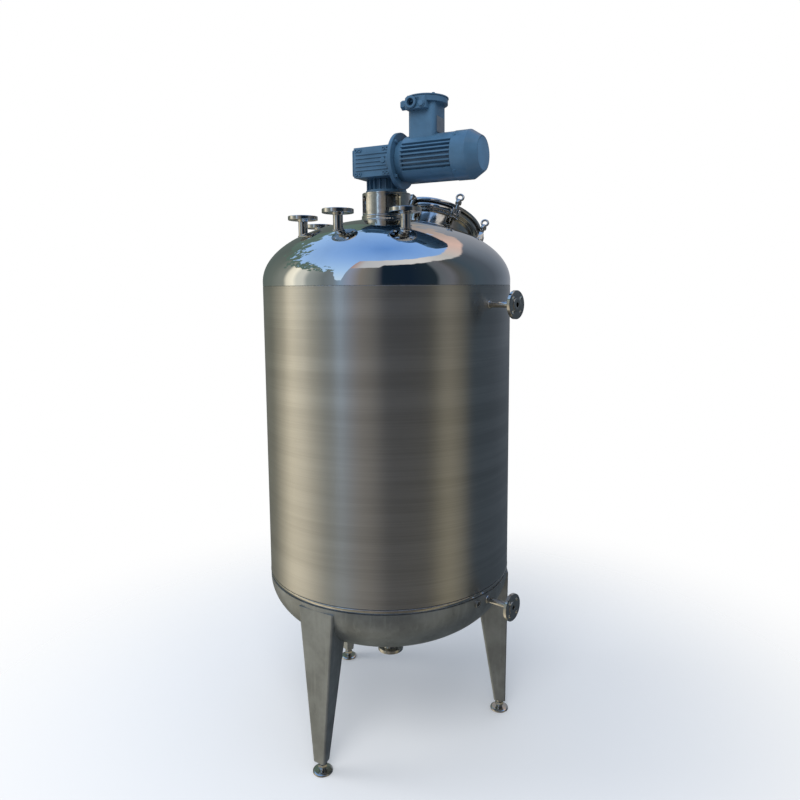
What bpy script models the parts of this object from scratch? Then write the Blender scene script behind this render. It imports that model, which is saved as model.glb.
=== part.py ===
"""A jacketed mixing tank on three legs, with a worm gear drive on its domed top head.

Metres, +Z up. The origin lies on the floor, in the middle of the part's box. Pieces are
made about the tank's own axis, and an empty on that axis carries them all.
"""

import math

import bmesh
import bpy
from mathutils import Matrix, Vector

# Driving dimensions, in metres

GAP = 0.0003  # between pieces that touch
ROUND_SIDES = 48  # sides of the vessel
PIPE_SIDES = 20  # sides of pipes, flanges and their holes
MANWAY_SIDES = 36

TANK_RADIUS = 0.46
WALL = 0.05  # inner vessel, insulation and cladding together
SEAM_TOP = 1.70  # where the top head meets the shell
SEAM_BOTTOM = 0.634  # where the shell meets the lower seam band
SEAM_BAND = 0.017
HEAD_SKIN = 0.008
HEAD_STEPS = 9  # facets from a head's rim to its middle
TOP_HEAD_LIP = 0.015  # straight part of the head below its curve
TOP_HEAD_RISE = 0.23
BOTTOM_HEAD_LIP = 0.006
BOTTOM_HEAD_DROP = 0.25

LEG_ANGLES = {"front": -94.7, "right": 25.3, "left": 145.3}
LEG_FACE = 0.460  # from the tank's axis to the flat outer face of a leg
LEG_TOP = 0.602
LEG_END = 0.042
LEG_WIDTH_TOP = 0.150
LEG_WIDTH_END = 0.050
LEG_DEPTH_TOP = 0.135
LEG_DEPTH_END = 0.044
LEG_INNER_SHARE = 0.62  # width of the inner face against the outer one
FOOT_RADIUS = 0.035
FOOT_PLATE = 0.008
FOOT_STEM = 0.012
FOOT_HOLE = 0.0055

TOP_NOZZLES = {  # angle, distance from the tank's axis, height of the flange's face
    "front": (311, 0.300, SEAM_TOP + 0.257),
    "front_left": (265.5, 0.298, SEAM_TOP + 0.258),
    "left": (219, 0.310, SEAM_TOP + 0.2535),
    "rear_left": (181, 0.300, SEAM_TOP + 0.2405),
}
TOP_NOZZLE_DEPTH = 0.030  # how far each pipe reaches below the head's outside
TOP_PIPE = 0.01685
TOP_FLANGE = 0.054
TOP_FLANGE_THICK = 0.016
TOP_BOLT_CIRCLE = 0.0397
TOP_BOLT_HOLE = 0.0079
TOP_BORE = 0.0143

SIDE_NOZZLE_ANGLE = -11
SIDE_NOZZLE_FACE = 0.565  # from the tank's axis
SIDE_NOZZLE_HIGH = 1.634
SIDE_NOZZLE_LOW = 0.592
SIDE_PIPE = 0.01065
SIDE_FLANGE = 0.0475
SIDE_FLANGE_THICK = 0.014
SIDE_BOLT_CIRCLE = 0.0325
SIDE_BOLT_HOLE = 0.007
SIDE_BORE = 0.0081

SOCKET_ANGLE = -20
SOCKET_HEIGHT = 0.598
SOCKET_RADIUS = 0.0125
SOCKET_BORE = 0.0075
SOCKET_FACE = 0.468

OUTLET_PIPE = 0.030
OUTLET_BORE = 0.026
OUTLET_FLANGE = 0.050
OUTLET_FLANGE_TOP = 0.264
OUTLET_FLANGE_THICK = 0.014
OUTLET_END = 0.240

MANWAY_ANGLE = 79
MANWAY_CIRCLE = 0.300
MANWAY_TILT = 28
MANWAY_NECK = 0.148  # outer radius
MANWAY_NECK_WALL = 0.006
MANWAY_NECK_RISE = 0.067  # above the head, along the manway's own axis
MANWAY_RIM = 0.168
MANWAY_RIM_THICK = 0.016
MANWAY_GASKET = 0.004
MANWAY_LID = 0.176
MANWAY_LID_THICK = 0.014
MANWAY_LID_CROWN = 0.014
MANWAY_LID_FLAT = 0.022  # from the rim's edge in to the crown
SWING_BOLT_ANGLES = (-4, 56, 116, 236, 296)
EYE_TURNS = (0, 0, 0, 60, 0)  # each eye nut's turn on its bolt
HINGE_ANGLE = 176
HINGE_STRAP_RISE = 0.003
HINGE_STRAP_REACH = 0.045  # from the lid's rim inwards
SWING_BOLT_CIRCLE = 0.184
SWING_BOLT = 0.006
SWING_PIN = 0.004
SWING_BORE = 0.0046
SWING_BARREL = 0.009
EYE_NUT = 0.0125
EYE_RING = 0.013
EYE_WIRE = 0.0045
LUG_WIDTH = 0.010
LUG_SPACE = 0.0150

DRIVE_RING = 0.093
DRIVE_RING_BORE = 0.048
DRIVE_RING_TOP = SEAM_TOP + 0.250
LANTERN_RADIUS = 0.090
LANTERN_WALL = 0.009
LANTERN_TOP = SEAM_TOP + 0.338
LANTERN_PLATE = 0.006
LANTERN_FOOT = 0.008
LANTERN_FOOT_BORE = 0.068
WINDOW_ANGLES = (-45, 45, 135, 225)
WINDOW_WIDTH = 0.058
WINDOW_RIM = 0.004  # between a window and the foot or the plate
SEAL_RADIUS = 0.060
SEAL_HEIGHT = 0.024
SHAFT_RADIUS = 0.0175
SHAFT_CLEAR = 0.0005
SHAFT_TOP_GAP = 0.0063  # between the shaft's end and the gearbox above it
COUPLING_RADIUS = 0.034
COUPLING_HEIGHT = 0.040
COUPLING_GROOVE = 0.004

GEAR_CENTRES = 0.078  # from the output axis to the worm's axis
WORM_HEIGHT = 2.135
GEARBOX_BOTTOM = 2.085
GEARBOX_TOP = 2.190
GEARBOX_LEFT = -0.070
GEARBOX_RIGHT = 0.086
WORM_CAP = 0.005
GEARBOX_FRONT = -0.122
GEARBOX_BACK = 0.088
CASE_CORNER = 0.006
OUTPUT_NECK = 0.062
OUTPUT_FLANGE = 0.076
OUTPUT_FLANGE_THICK = 0.011
OUTPUT_BORE = 0.024
NOSE_RADIUS = 0.048  # round seat of the motor's flange
NOSE_ROOT = 0.020  # how deep the nose starts in the housing
GEAR_COVER = 0.050
GEAR_COVER_THICK = 0.009
GEAR_COVER_CHAMFER = 0.006
WORM_CAP_INSET = 0.006  # from the housing's edges
WORM_CAP_WIDTH = 0.088

MOTOR_FLANGE = 0.097
MOTOR_FLANGE_START = 0.098
MOTOR_FLANGE_THICK = 0.014
MOTOR_BELL = 0.074
MOTOR_BELL_LENGTH = 0.030
MOTOR_BELL_TAPER = 0.004
MOTOR_BOLT_CIRCLE = 0.0825
MOTOR_BOLT_HOLE = 0.0055
MOTOR_BODY = 0.0805
MOTOR_GROOVE = 0.069  # radius at the bottom of a groove
MOTOR_BODY_END = 0.323
GROOVE_COUNT = 7  # on each side
GROOVE_PITCH = 10.5  # degrees
GROOVE_HALF = 3.4
FAN_COVER = 0.082
FAN_COVER_END = 0.414
FAN_COVER_CONE = 0.058
FAN_COVER_SLOPE = 0.038
FAN_COVER_WALL = 0.003
FAN_COVER_RIM = 0.003

BOX_CENTRE = 0.205  # along the motor
BOX_WIDTH = 0.100  # along the motor
BOX_DEPTH = 0.095
BOX_CORNER = 0.012
BOX_FOOT = 2.192
BOX_HEAD_BOTTOM = 2.313  # the round head under the cover
BOX_HEAD_RADIUS = 0.073
BOX_COVER_BOTTOM = 2.332
BOX_COVER_TOP = 2.340
BOX_COVER_RADIUS = 0.0755
BOX_COVER_CHAMFER = 0.003
ENTRY_LEFT = -0.048  # ends of the block that holds the cable entries, from the box's middle
ENTRY_RIGHT = 0.030
ENTRY_BOTTOM = 2.289
ENTRY_FACE = 0.0735  # from the motor's axis, outwards
GLAND_OFFSET = -0.023
GLAND_HEIGHT = 2.310
GLAND_BORE = 0.0125
GLAND_RADIUS = 0.0205
GLAND_LENGTH = 0.010
SPARE_OFFSET = 0.042  # the side entry, from the motor's axis, outwards
SPARE_HEIGHT = 2.312
SPARE_RADIUS = 0.017
SPARE_END = -0.074
PLUG_OFFSET = 0.0165
PLUG_HEIGHT = 2.302
PLUG_RADIUS = 0.0115
PLUG_LENGTH = 0.010
PLATE_WIDTH = 0.056
PLATE_LOW = 0.025  # the bare plate's edges above the box's foot
PLATE_HIGH = 0.077
PLATE_THICK = 0.002

IMPELLER_HEIGHT = 0.66
IMPELLER_HUB = 0.038
IMPELLER_HUB_HEIGHT = 0.07
BLADE_REACH = 0.165
BLADE_WIDTH = 0.055
BLADE_THICK = 0.008
BLADE_COUNT = 4
SHAFT_END = 0.600

FINISHES = {
    "mirror_steel": ((0.62, 0.64, 0.66), 0.06, 1.0),
    "brushed_steel": ((0.50, 0.50, 0.49), 0.32, 1.0),
    "matte_steel": ((0.28, 0.30, 0.31), 0.55, 1.0),
    "blue_paint": ((0.06, 0.13, 0.25), 0.42, 0.0),
    "dark_rubber": ((0.03, 0.03, 0.03), 0.80, 0.0),
    "bare_plate": ((0.42, 0.44, 0.46), 0.40, 1.0),
}


def material(name, finish):
    """A material of the node's own, in one of the finishes."""
    colour, roughness, metallic = FINISHES[finish]
    made = bpy.data.materials.new(name)
    made.use_nodes = True
    shader = made.node_tree.nodes["Principled BSDF"]
    shader.inputs["Base Color"].default_value = (*colour, 1.0)
    shader.inputs["Roughness"].default_value = roughness
    shader.inputs["Metallic"].default_value = metallic
    return made


def new_object(name, bm, finish=None, parent=None):
    """Put a bmesh into the scene as a closed object with its faces pointing out."""
    bmesh.ops.recalc_face_normals(bm, faces=bm.faces)
    mesh = bpy.data.meshes.new(name)
    bm.to_mesh(mesh)
    bm.free()
    mesh.shade_smooth()
    mesh.set_sharp_from_angle(angle=math.radians(30))
    made = bpy.data.objects.new(name, mesh)
    bpy.context.scene.collection.objects.link(made)
    made.parent = parent
    if finish:
        mesh.materials.append(material(name, finish))
    return made


def turned(profile, sides=PIPE_SIDES):
    """Spin a closed outline of (radius, height) points about Z."""
    bm = bmesh.new()
    corners = [bm.verts.new((radius, 0.0, height)) for radius, height in profile]
    edges = [bm.edges.new((a, b)) for a, b in zip(corners, corners[1:] + corners[:1])]
    flat = [e for e in edges if max(abs(v.co.x) for v in e.verts) > 1e-9]
    for edge in set(edges) - set(flat):
        bm.edges.remove(edge)
    bmesh.ops.spin(
        bm,
        geom=corners + flat,
        cent=(0, 0, 0),
        axis=(0, 0, 1),
        angle=math.tau,
        steps=sides,
        use_merge=True,
    )
    bmesh.ops.remove_doubles(bm, verts=bm.verts, dist=1e-5)
    return bm


def block(low, high):
    """A box from its lowest to its highest corner."""
    bm = bmesh.new()
    size = Vector(high) - Vector(low)
    middle = (Vector(high) + Vector(low)) / 2
    bmesh.ops.create_cube(bm, size=1.0, matrix=Matrix.Translation(middle) @ Matrix.Diagonal((*size, 1)))
    return bm


def rounded_block(low, high, radius, axis="Z", segments=3):
    """A box whose edges along one axis are rounded."""
    bm = block(low, high)
    way = {"X": 0, "Y": 1, "Z": 2}[axis]
    along = [e for e in bm.edges if abs((e.verts[0].co - e.verts[1].co).normalized()[way]) > 0.9]
    bmesh.ops.bevel(
        bm, geom=along, offset=radius, offset_type="OFFSET", segments=segments, profile=0.5, affect="EDGES"
    )
    return bm


def join_into(bm, other):
    """Add another bmesh's faces to this one."""
    mesh = bpy.data.meshes.new("joined")
    other.to_mesh(mesh)
    other.free()
    bm.from_mesh(mesh)
    bpy.data.meshes.remove(mesh)


def moved(bm, matrix):
    bmesh.ops.transform(bm, matrix=matrix, verts=bm.verts)
    return bm


def turn(angle, axis="Z"):
    return Matrix.Rotation(math.radians(angle), 4, axis)


def shift(x, y, z):
    return Matrix.Translation((x, y, z))


def cutter(name, bm, parent):
    """A guide solid that only cuts others."""
    made = new_object(name, bm, parent=parent)
    made.hide_render = True
    made.display_type = "WIRE"
    return made


def combine(target, other, operation="DIFFERENCE"):
    """Add an exact Boolean of one object with another."""
    cut = target.modifiers.new(other.name, "BOOLEAN")
    cut.operation = operation
    cut.solver = "EXACT"
    cut.object = other


def pins(radius, length, circle, count, start, first_angle=0.0):
    """Round pins on a circle, parallel to Z, as one set of solids."""
    bm = bmesh.new()
    for number in range(count):
        angle = math.radians(first_angle) + math.tau * number / count
        bmesh.ops.create_cone(
            bm,
            cap_ends=True,
            segments=8,
            radius1=radius,
            radius2=radius,
            depth=length,
            matrix=shift(circle * math.cos(angle), circle * math.sin(angle), start + length / 2),
        )
    return bm


def ellipse_points(radius, rise, start_angle, end_angle, steps):
    """Points (radius, height) of an ellipse's quarter, angles from the level in degrees."""
    points = []
    for step in range(steps + 1):
        angle = math.radians(start_angle + (end_angle - start_angle) * step / steps)
        points.append((radius * math.cos(angle), rise * math.sin(angle)))
    return points


def head_height(radius):
    """Height of the top head's outside above its seam, at a distance from the axis."""
    return TOP_HEAD_LIP + TOP_HEAD_RISE * math.sqrt(1 - (radius / TANK_RADIUS) ** 2)


def head_outside(hole, lip, rise, grow=0.0):
    """Outline of a dished end's outside from its rim up to its hole."""
    top = math.degrees(math.acos(hole / TANK_RADIUS))
    curve = ellipse_points(TANK_RADIUS + grow, rise + grow, 0, top, HEAD_STEPS)
    return [(radius, height + lip) for radius, height in curve]


def head_profile(hole, lip, rise):
    """Closed outline of a dished end, upright and with its rim at zero."""
    inner_radius = TANK_RADIUS - HEAD_SKIN
    inner_top = math.degrees(math.acos(hole / inner_radius))
    inner = ellipse_points(inner_radius, rise - HEAD_SKIN, inner_top, 0, HEAD_STEPS - 3)
    points = [(inner_radius, 0.0), (TANK_RADIUS, 0.0)]
    points += head_outside(hole, lip, rise)
    points += [(radius, height + lip) for radius, height in inner]
    return points


def head_cutter(name, parent, hole, lip, rise):
    """The space inside a dished end, grown by a gap, to fit what is welded to its outside."""
    curve = head_outside(hole, lip, rise, GAP)
    points = [(0.0, -0.05), (TANK_RADIUS + GAP, -0.05), *curve, (0.0, curve[-1][1])]
    return cutter(name, turned(points, ROUND_SIDES), parent)


def hole_cutter(name, parent, radius, matrix, length, sides=PIPE_SIDES):
    """A round hole's cutter, along the Z of a matrix, from its origin both ways."""
    half = length / 2
    bm = turned([(0.0, -half), (radius, -half), (radius, half), (0.0, half)], sides)
    return cutter(name, moved(bm, matrix), parent)


def make_shell(axis, cuts):
    profile = [
        (TANK_RADIUS - WALL, SEAM_BOTTOM + GAP),
        (TANK_RADIUS, SEAM_BOTTOM + GAP),
        (TANK_RADIUS, SEAM_TOP - GAP),
        (TANK_RADIUS - WALL, SEAM_TOP - GAP),
    ]
    shell = new_object("shell", turned(profile, ROUND_SIDES), "brushed_steel", axis)
    combine(shell, cuts["upper_side"])
    return shell


def make_lower_seam(axis):
    profile = [
        (TANK_RADIUS - WALL, SEAM_BOTTOM - SEAM_BAND + GAP),
        (TANK_RADIUS + 0.001, SEAM_BOTTOM - SEAM_BAND + GAP),
        (TANK_RADIUS + 0.001, SEAM_BOTTOM),
        (TANK_RADIUS - WALL, SEAM_BOTTOM),
    ]
    return new_object("lower_seam_band", turned(profile, ROUND_SIDES), "matte_steel", axis)


def make_top_head(axis, cuts):
    profile = head_profile(DRIVE_RING_BORE, TOP_HEAD_LIP, TOP_HEAD_RISE)
    head = new_object("top_head", turned(profile, ROUND_SIDES), "mirror_steel", axis)
    head.location.z = SEAM_TOP
    for name in ("manway", *[f"top_{n}" for n in TOP_NOZZLES]):
        combine(head, cuts[name])
    return head


def make_bottom_head(axis, cuts):
    profile = head_profile(OUTLET_PIPE + GAP, BOTTOM_HEAD_LIP, BOTTOM_HEAD_DROP)
    upside_down = [(radius, -height) for radius, height in profile]
    head = new_object("bottom_head", turned(upside_down, ROUND_SIDES), "matte_steel", axis)
    head.location.z = SEAM_BOTTOM - SEAM_BAND
    combine(head, cuts["lower_side"])
    combine(head, cuts["socket"])
    return head


def make_bottom_outlet(axis):
    inside = SEAM_BOTTOM - SEAM_BAND - BOTTOM_HEAD_LIP - BOTTOM_HEAD_DROP + 0.012
    profile = [
        (OUTLET_BORE, inside),
        (OUTLET_BORE, OUTLET_END),
        (OUTLET_PIPE, OUTLET_END),
        (OUTLET_PIPE, OUTLET_FLANGE_TOP - OUTLET_FLANGE_THICK),
        (OUTLET_FLANGE, OUTLET_FLANGE_TOP - OUTLET_FLANGE_THICK),
        (OUTLET_FLANGE, OUTLET_FLANGE_TOP),
        (OUTLET_PIPE, OUTLET_FLANGE_TOP),
        (OUTLET_PIPE, inside),
    ]
    return new_object("bottom_outlet", turned(profile, 32), "mirror_steel", axis)


def leg_mesh():
    """A leg that tapers downwards, its outer face flat and upright, at +X."""
    bm = bmesh.new()
    rings = []
    for height, width, depth in (
        (LEG_END, LEG_WIDTH_END, LEG_DEPTH_END),
        (LEG_TOP, LEG_WIDTH_TOP, LEG_DEPTH_TOP),
    ):
        inner = width * LEG_INNER_SHARE
        corners = [
            (LEG_FACE, -width / 2),
            (LEG_FACE, width / 2),
            (LEG_FACE - depth, inner / 2),
            (LEG_FACE - depth, -inner / 2),
        ]
        rings.append([bm.verts.new((x, y, height)) for x, y in corners])
    bm.faces.new(rings[0])
    bm.faces.new(list(reversed(rings[1])))
    for number in range(4):
        after = (number + 1) % 4
        bm.faces.new((rings[0][number], rings[1][number], rings[1][after], rings[0][after]))
    upright = [e for e in bm.edges if abs(e.verts[0].co.z - e.verts[1].co.z) > 0.1]
    bmesh.ops.bevel(
        bm, geom=upright, offset=0.006, offset_type="OFFSET", segments=2, profile=0.5, affect="EDGES"
    )
    return bm


def make_legs(axis):
    belly = head_cutter("cut_legs_to_head", axis, OUTLET_PIPE + GAP, BOTTOM_HEAD_LIP, BOTTOM_HEAD_DROP)
    belly.matrix_local = shift(0, 0, SEAM_BOTTOM - SEAM_BAND) @ turn(180, "X")
    for side, angle in LEG_ANGLES.items():
        leg = new_object(f"leg_{side}", moved(leg_mesh(), turn(angle)), "matte_steel", axis)
        combine(leg, belly)


def make_feet(axis):
    middle = LEG_FACE - LEG_DEPTH_END / 2
    stem_top = LEG_END - GAP
    for side, angle in LEG_ANGLES.items():
        profile = [
            (0.0, 0.0),
            (FOOT_RADIUS, 0.0),
            (FOOT_RADIUS, FOOT_PLATE),
            (FOOT_STEM, FOOT_PLATE + 0.002),
            (FOOT_STEM, stem_top),
            (0.0, stem_top),
        ]
        foot = new_object(f"foot_{side}", turned(profile, 32), "mirror_steel", axis)
        foot.location = turn(angle) @ Vector((middle, 0, 0))
        hole = hole_cutter(f"cut_foot_{side}", axis, FOOT_HOLE, shift(0, 0, 0), 0.04)
        hole.location = turn(angle) @ Vector((middle, -0.024, 0))
        combine(foot, hole)


def flanged_pipe(name, finish, axis, sizes, start, face):
    """A pipe with a welded flange along +Z, from a start to the flange's face."""
    pipe, bore, flange, thick, circle, hole = sizes
    profile = [
        (bore, start),
        (pipe, start),
        (pipe, face - thick - 0.006),
        (pipe + 0.006, face - thick),
        (flange, face - thick),
        (flange, face - 0.002),
        (circle - hole - 0.002, face - 0.002),
        (circle - hole - 0.003, face),
        (bore, face),
    ]
    made = new_object(name, turned(profile), finish, axis)
    drill = cutter(f"cut_bolts_{name}", pins(hole, thick + 0.02, circle, 4, face - thick - 0.01, 45), made)
    combine(made, drill)
    return made


def make_top_nozzles(axis):
    sizes = (TOP_PIPE, TOP_BORE, TOP_FLANGE, TOP_FLANGE_THICK, TOP_BOLT_CIRCLE, TOP_BOLT_HOLE)
    for name, (angle, reach, face) in TOP_NOZZLES.items():
        base = SEAM_TOP + head_height(reach) - TOP_NOZZLE_DEPTH
        nozzle = flanged_pipe(f"top_nozzle_{name}", "mirror_steel", axis, sizes, base, face)
        nozzle.location = turn(angle) @ Vector((reach, 0, 0))
        nozzle.rotation_euler.z = math.radians(angle)


def side_matrix(height, angle=SIDE_NOZZLE_ANGLE):
    """From a pipe along +Z to one that points outwards at a height."""
    return shift(0, 0, height) @ turn(angle) @ turn(90, "Y")


def make_side_nozzles(axis):
    sizes = (SIDE_PIPE, SIDE_BORE, SIDE_FLANGE, SIDE_FLANGE_THICK, SIDE_BOLT_CIRCLE, SIDE_BOLT_HOLE)
    for name, height, start in (
        ("upper", SIDE_NOZZLE_HIGH, TANK_RADIUS - 0.018),
        ("lower", SIDE_NOZZLE_LOW, TANK_RADIUS - 0.024),
    ):
        nozzle = flanged_pipe(f"jacket_nozzle_{name}", "mirror_steel", axis, sizes, start, SIDE_NOZZLE_FACE)
        nozzle.matrix_local = side_matrix(height)


def make_socket(axis):
    profile = [
        (SOCKET_BORE, TANK_RADIUS - 0.024),
        (SOCKET_RADIUS, TANK_RADIUS - 0.024),
        (SOCKET_RADIUS, SOCKET_FACE),
        (SOCKET_BORE, SOCKET_FACE),
    ]
    socket = new_object("drain_socket", turned(profile), "mirror_steel", axis)
    socket.matrix_local = side_matrix(SOCKET_HEIGHT, SOCKET_ANGLE)


def manway_matrix():
    """From the manway's own axis, +Z, to its place on the head, with +X outwards."""
    return (
        turn(MANWAY_ANGLE)
        @ shift(MANWAY_CIRCLE, 0, SEAM_TOP + head_height(MANWAY_CIRCLE))
        @ turn(MANWAY_TILT, "Y")
    )


def manway_levels():
    """Heights along the manway's axis: rim bottom, rim top, gasket top, lid top."""
    rim_top = MANWAY_NECK_RISE
    rim_bottom = rim_top - MANWAY_RIM_THICK
    gasket_top = rim_top + GAP + MANWAY_GASKET
    lid_top = gasket_top + GAP + MANWAY_LID_THICK
    return rim_bottom, rim_top, gasket_top, lid_top


def lug_pair(angle, low, high, inner, outer, pin_height):
    """Two upright ears beside a swing bolt's place, with the pin that joins them."""
    bm = bmesh.new()
    reach = LUG_SPACE / 2 + LUG_WIDTH
    for side in (-1, 1):
        near = side * LUG_SPACE / 2
        far = side * reach
        join_into(bm, block((inner, min(near, far), low), (outer, max(near, far), high)))
    half = reach - LUG_WIDTH / 2
    pin = turned([(0.0, -half), (SWING_PIN, -half), (SWING_PIN, half), (0.0, half)], 10)
    join_into(bm, moved(pin, shift(SWING_BOLT_CIRCLE, 0, pin_height) @ turn(90, "X")))
    return moved(bm, turn(angle))


def swing_pin_height():
    rim_bottom, _, _, _ = manway_levels()
    return rim_bottom - 0.018


def make_manway_neck(axis):
    rim_bottom, rim_top, _, _ = manway_levels()
    profile = [
        (MANWAY_NECK - MANWAY_NECK_WALL, -0.085),
        (MANWAY_NECK, -0.085),
        (MANWAY_NECK, rim_bottom),
        (MANWAY_RIM, rim_bottom),
        (MANWAY_RIM, rim_top),
        (MANWAY_NECK - MANWAY_NECK_WALL, rim_top),
    ]
    neck = new_object("manway_neck", turned(profile, MANWAY_SIDES), "mirror_steel", axis)
    neck.matrix_local = manway_matrix()
    low = swing_pin_height() - 0.012
    inner = MANWAY_RIM - 0.006
    outer = SWING_BOLT_CIRCLE + 0.011
    for number, angle in enumerate((*SWING_BOLT_ANGLES, HINGE_ANGLE)):
        ears = lug_pair(angle, low, rim_top - 0.004, inner, outer, swing_pin_height())
        combine(neck, cutter(f"ears_{number}", ears, neck), "UNION")
    return neck


def make_manway_gasket(axis):
    _, rim_top, gasket_top, _ = manway_levels()
    inner = MANWAY_NECK - MANWAY_NECK_WALL
    profile = [
        (inner, rim_top + GAP),
        (MANWAY_RIM - 0.002, rim_top + GAP),
        (MANWAY_RIM - 0.002, gasket_top),
        (inner, gasket_top),
    ]
    gasket = new_object("manway_gasket", turned(profile, MANWAY_SIDES), "dark_rubber", axis)
    gasket.matrix_local = manway_matrix()


def make_manway_lid(axis):
    _, _, gasket_top, lid_top = manway_levels()
    bottom = gasket_top + GAP
    flat = MANWAY_RIM - MANWAY_LID_FLAT
    crown = [(r, lid_top + h) for r, h in ellipse_points(flat, MANWAY_LID_CROWN, 0, 90, 4)]
    profile = [(0.0, bottom), (MANWAY_LID, bottom), (MANWAY_LID, lid_top), *crown]
    lid = new_object("manway_lid", turned(profile, MANWAY_SIDES), "mirror_steel", axis)
    lid.matrix_local = manway_matrix()
    for number, angle in enumerate(SWING_BOLT_ANGLES):
        slot = block(
            (SWING_BOLT_CIRCLE - 0.0115, -LUG_SPACE / 2, bottom - 0.01),
            (SWING_BOLT_CIRCLE + 0.05, LUG_SPACE / 2, lid_top + 0.01),
        )
        combine(lid, cutter(f"cut_slot_{number}", moved(slot, turn(angle)), lid))
    for number, strap in enumerate(hinge_strap(bottom, lid_top)):
        combine(lid, cutter(f"hinge_strap_{number}", strap, lid), "UNION")
    combine(lid, hole_cutter("cut_hinge_pin", lid, SWING_BORE, turn(HINGE_ANGLE) @ hinge_place(), 0.03, 10))


def hinge_place():
    return shift(SWING_BOLT_CIRCLE, 0, swing_pin_height()) @ turn(90, "X")


def hinge_strap(bottom, lid_top):
    """A strap across the lid's edge, and its tail that turns down between the hinge's ears."""
    half = LUG_SPACE / 2 - GAP
    outer = SWING_BOLT_CIRCLE + SWING_BARREL
    strap = block((MANWAY_LID - HINGE_STRAP_REACH, -half, bottom), (outer, half, lid_top + HINGE_STRAP_RISE))
    tail = block((MANWAY_RIM + 0.002, -half, swing_pin_height() - SWING_BARREL), (outer, half, bottom + 0.002))
    return [moved(piece, turn(HINGE_ANGLE)) for piece in (strap, tail)]


def make_swing_bolts(axis):
    """Each bolt turns about a pin low in its ears, with an eye nut that presses on the lid."""
    _, _, _, lid_top = manway_levels()
    nut = lid_top + GAP - swing_pin_height()
    profile = [
        (0.0, 0.0),
        (SWING_BOLT, 0.0),
        (SWING_BOLT, nut),
        (EYE_NUT, nut),
        (EYE_NUT, nut + 0.010),
        (EYE_NUT - 0.005, nut + 0.014),
        (SWING_BOLT, nut + 0.020),
        (0.0, nut + 0.020),
    ]
    half = LUG_SPACE / 2 - GAP
    barrel = [(0.0, -half), (SWING_BARREL, -half), (SWING_BARREL, half), (0.0, half)]
    for number, angle in enumerate(SWING_BOLT_ANGLES):
        bolt = new_object(f"swing_bolt_{number + 1}", turned(profile, 10), "mirror_steel", axis)
        bolt.matrix_local = manway_matrix() @ turn(angle) @ shift(SWING_BOLT_CIRCLE, 0, swing_pin_height())
        eye = shift(0, 0, nut + 0.016 + EYE_RING) @ turn(EYE_TURNS[number]) @ turn(90, "X")
        ring = moved(ring_mesh(EYE_RING, EYE_WIRE), eye)
        combine(bolt, cutter(f"ring_{number + 1}", ring, bolt), "UNION")
        knuckle = moved(turned(barrel, 12), turn(90, "X"))
        combine(bolt, cutter(f"barrel_{number + 1}", knuckle, bolt), "UNION")
        combine(bolt, hole_cutter(f"bore_{number + 1}", bolt, SWING_BORE, turn(90, "X"), 0.03, 10))


def ring_mesh(ring_radius, wire_radius, turns=12, sides=6):
    """A torus about Z."""
    profile = []
    for side in range(sides):
        angle = math.tau * side / sides
        profile.append((ring_radius + wire_radius * math.cos(angle), wire_radius * math.sin(angle)))
    return turned(profile, turns)


def make_drive_ring(axis):
    low = SEAM_TOP + head_height(DRIVE_RING) - 0.004
    profile = [
        (DRIVE_RING_BORE, low),
        (DRIVE_RING, low),
        (DRIVE_RING, DRIVE_RING_TOP),
        (DRIVE_RING_BORE, DRIVE_RING_TOP),
    ]
    ring = new_object("drive_ring", turned(profile, 32), "mirror_steel", axis)
    dome = head_cutter("cut_ring_to_head", axis, DRIVE_RING_BORE, TOP_HEAD_LIP, TOP_HEAD_RISE)
    dome.location.z = SEAM_TOP
    combine(ring, dome)


def make_lantern(axis):
    bottom = DRIVE_RING_TOP + GAP
    inner = LANTERN_RADIUS - LANTERN_WALL
    plate = LANTERN_TOP - LANTERN_PLATE
    profile = [
        (LANTERN_FOOT_BORE, bottom),
        (DRIVE_RING, bottom),
        (DRIVE_RING, bottom + LANTERN_FOOT - 0.003),
        (LANTERN_RADIUS, bottom + LANTERN_FOOT),
        (LANTERN_RADIUS, LANTERN_TOP),
        (0.040, LANTERN_TOP),
        (0.040, plate),
        (inner, plate),
        (inner, bottom + LANTERN_FOOT),
        (LANTERN_FOOT_BORE, bottom + LANTERN_FOOT),
    ]
    lantern = new_object("lantern", turned(profile, 36), "mirror_steel", axis)
    for number, angle in enumerate(WINDOW_ANGLES):
        window = rounded_block(
            (0.05, -WINDOW_WIDTH / 2, bottom + LANTERN_FOOT + WINDOW_RIM),
            (0.12, WINDOW_WIDTH / 2, plate - WINDOW_RIM),
            0.010,
            "X",
            2,
        )
        combine(lantern, cutter(f"cut_window_{number}", moved(window, turn(angle)), lantern))


def make_seal_housing(axis):
    bottom = DRIVE_RING_TOP + GAP
    bore = SHAFT_RADIUS + SHAFT_CLEAR
    profile = [
        (bore, bottom - 0.012),
        (DRIVE_RING_BORE - GAP, bottom - 0.012),
        (DRIVE_RING_BORE - GAP, bottom),
        (SEAL_RADIUS, bottom),
        (SEAL_RADIUS, bottom + 0.010),
        (SEAL_RADIUS - 0.016, bottom + 0.012),
        (SEAL_RADIUS - 0.016, bottom + SEAL_HEIGHT),
        (bore, bottom + SEAL_HEIGHT),
    ]
    new_object("seal_housing", turned(profile, 32), "brushed_steel", axis)


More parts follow.
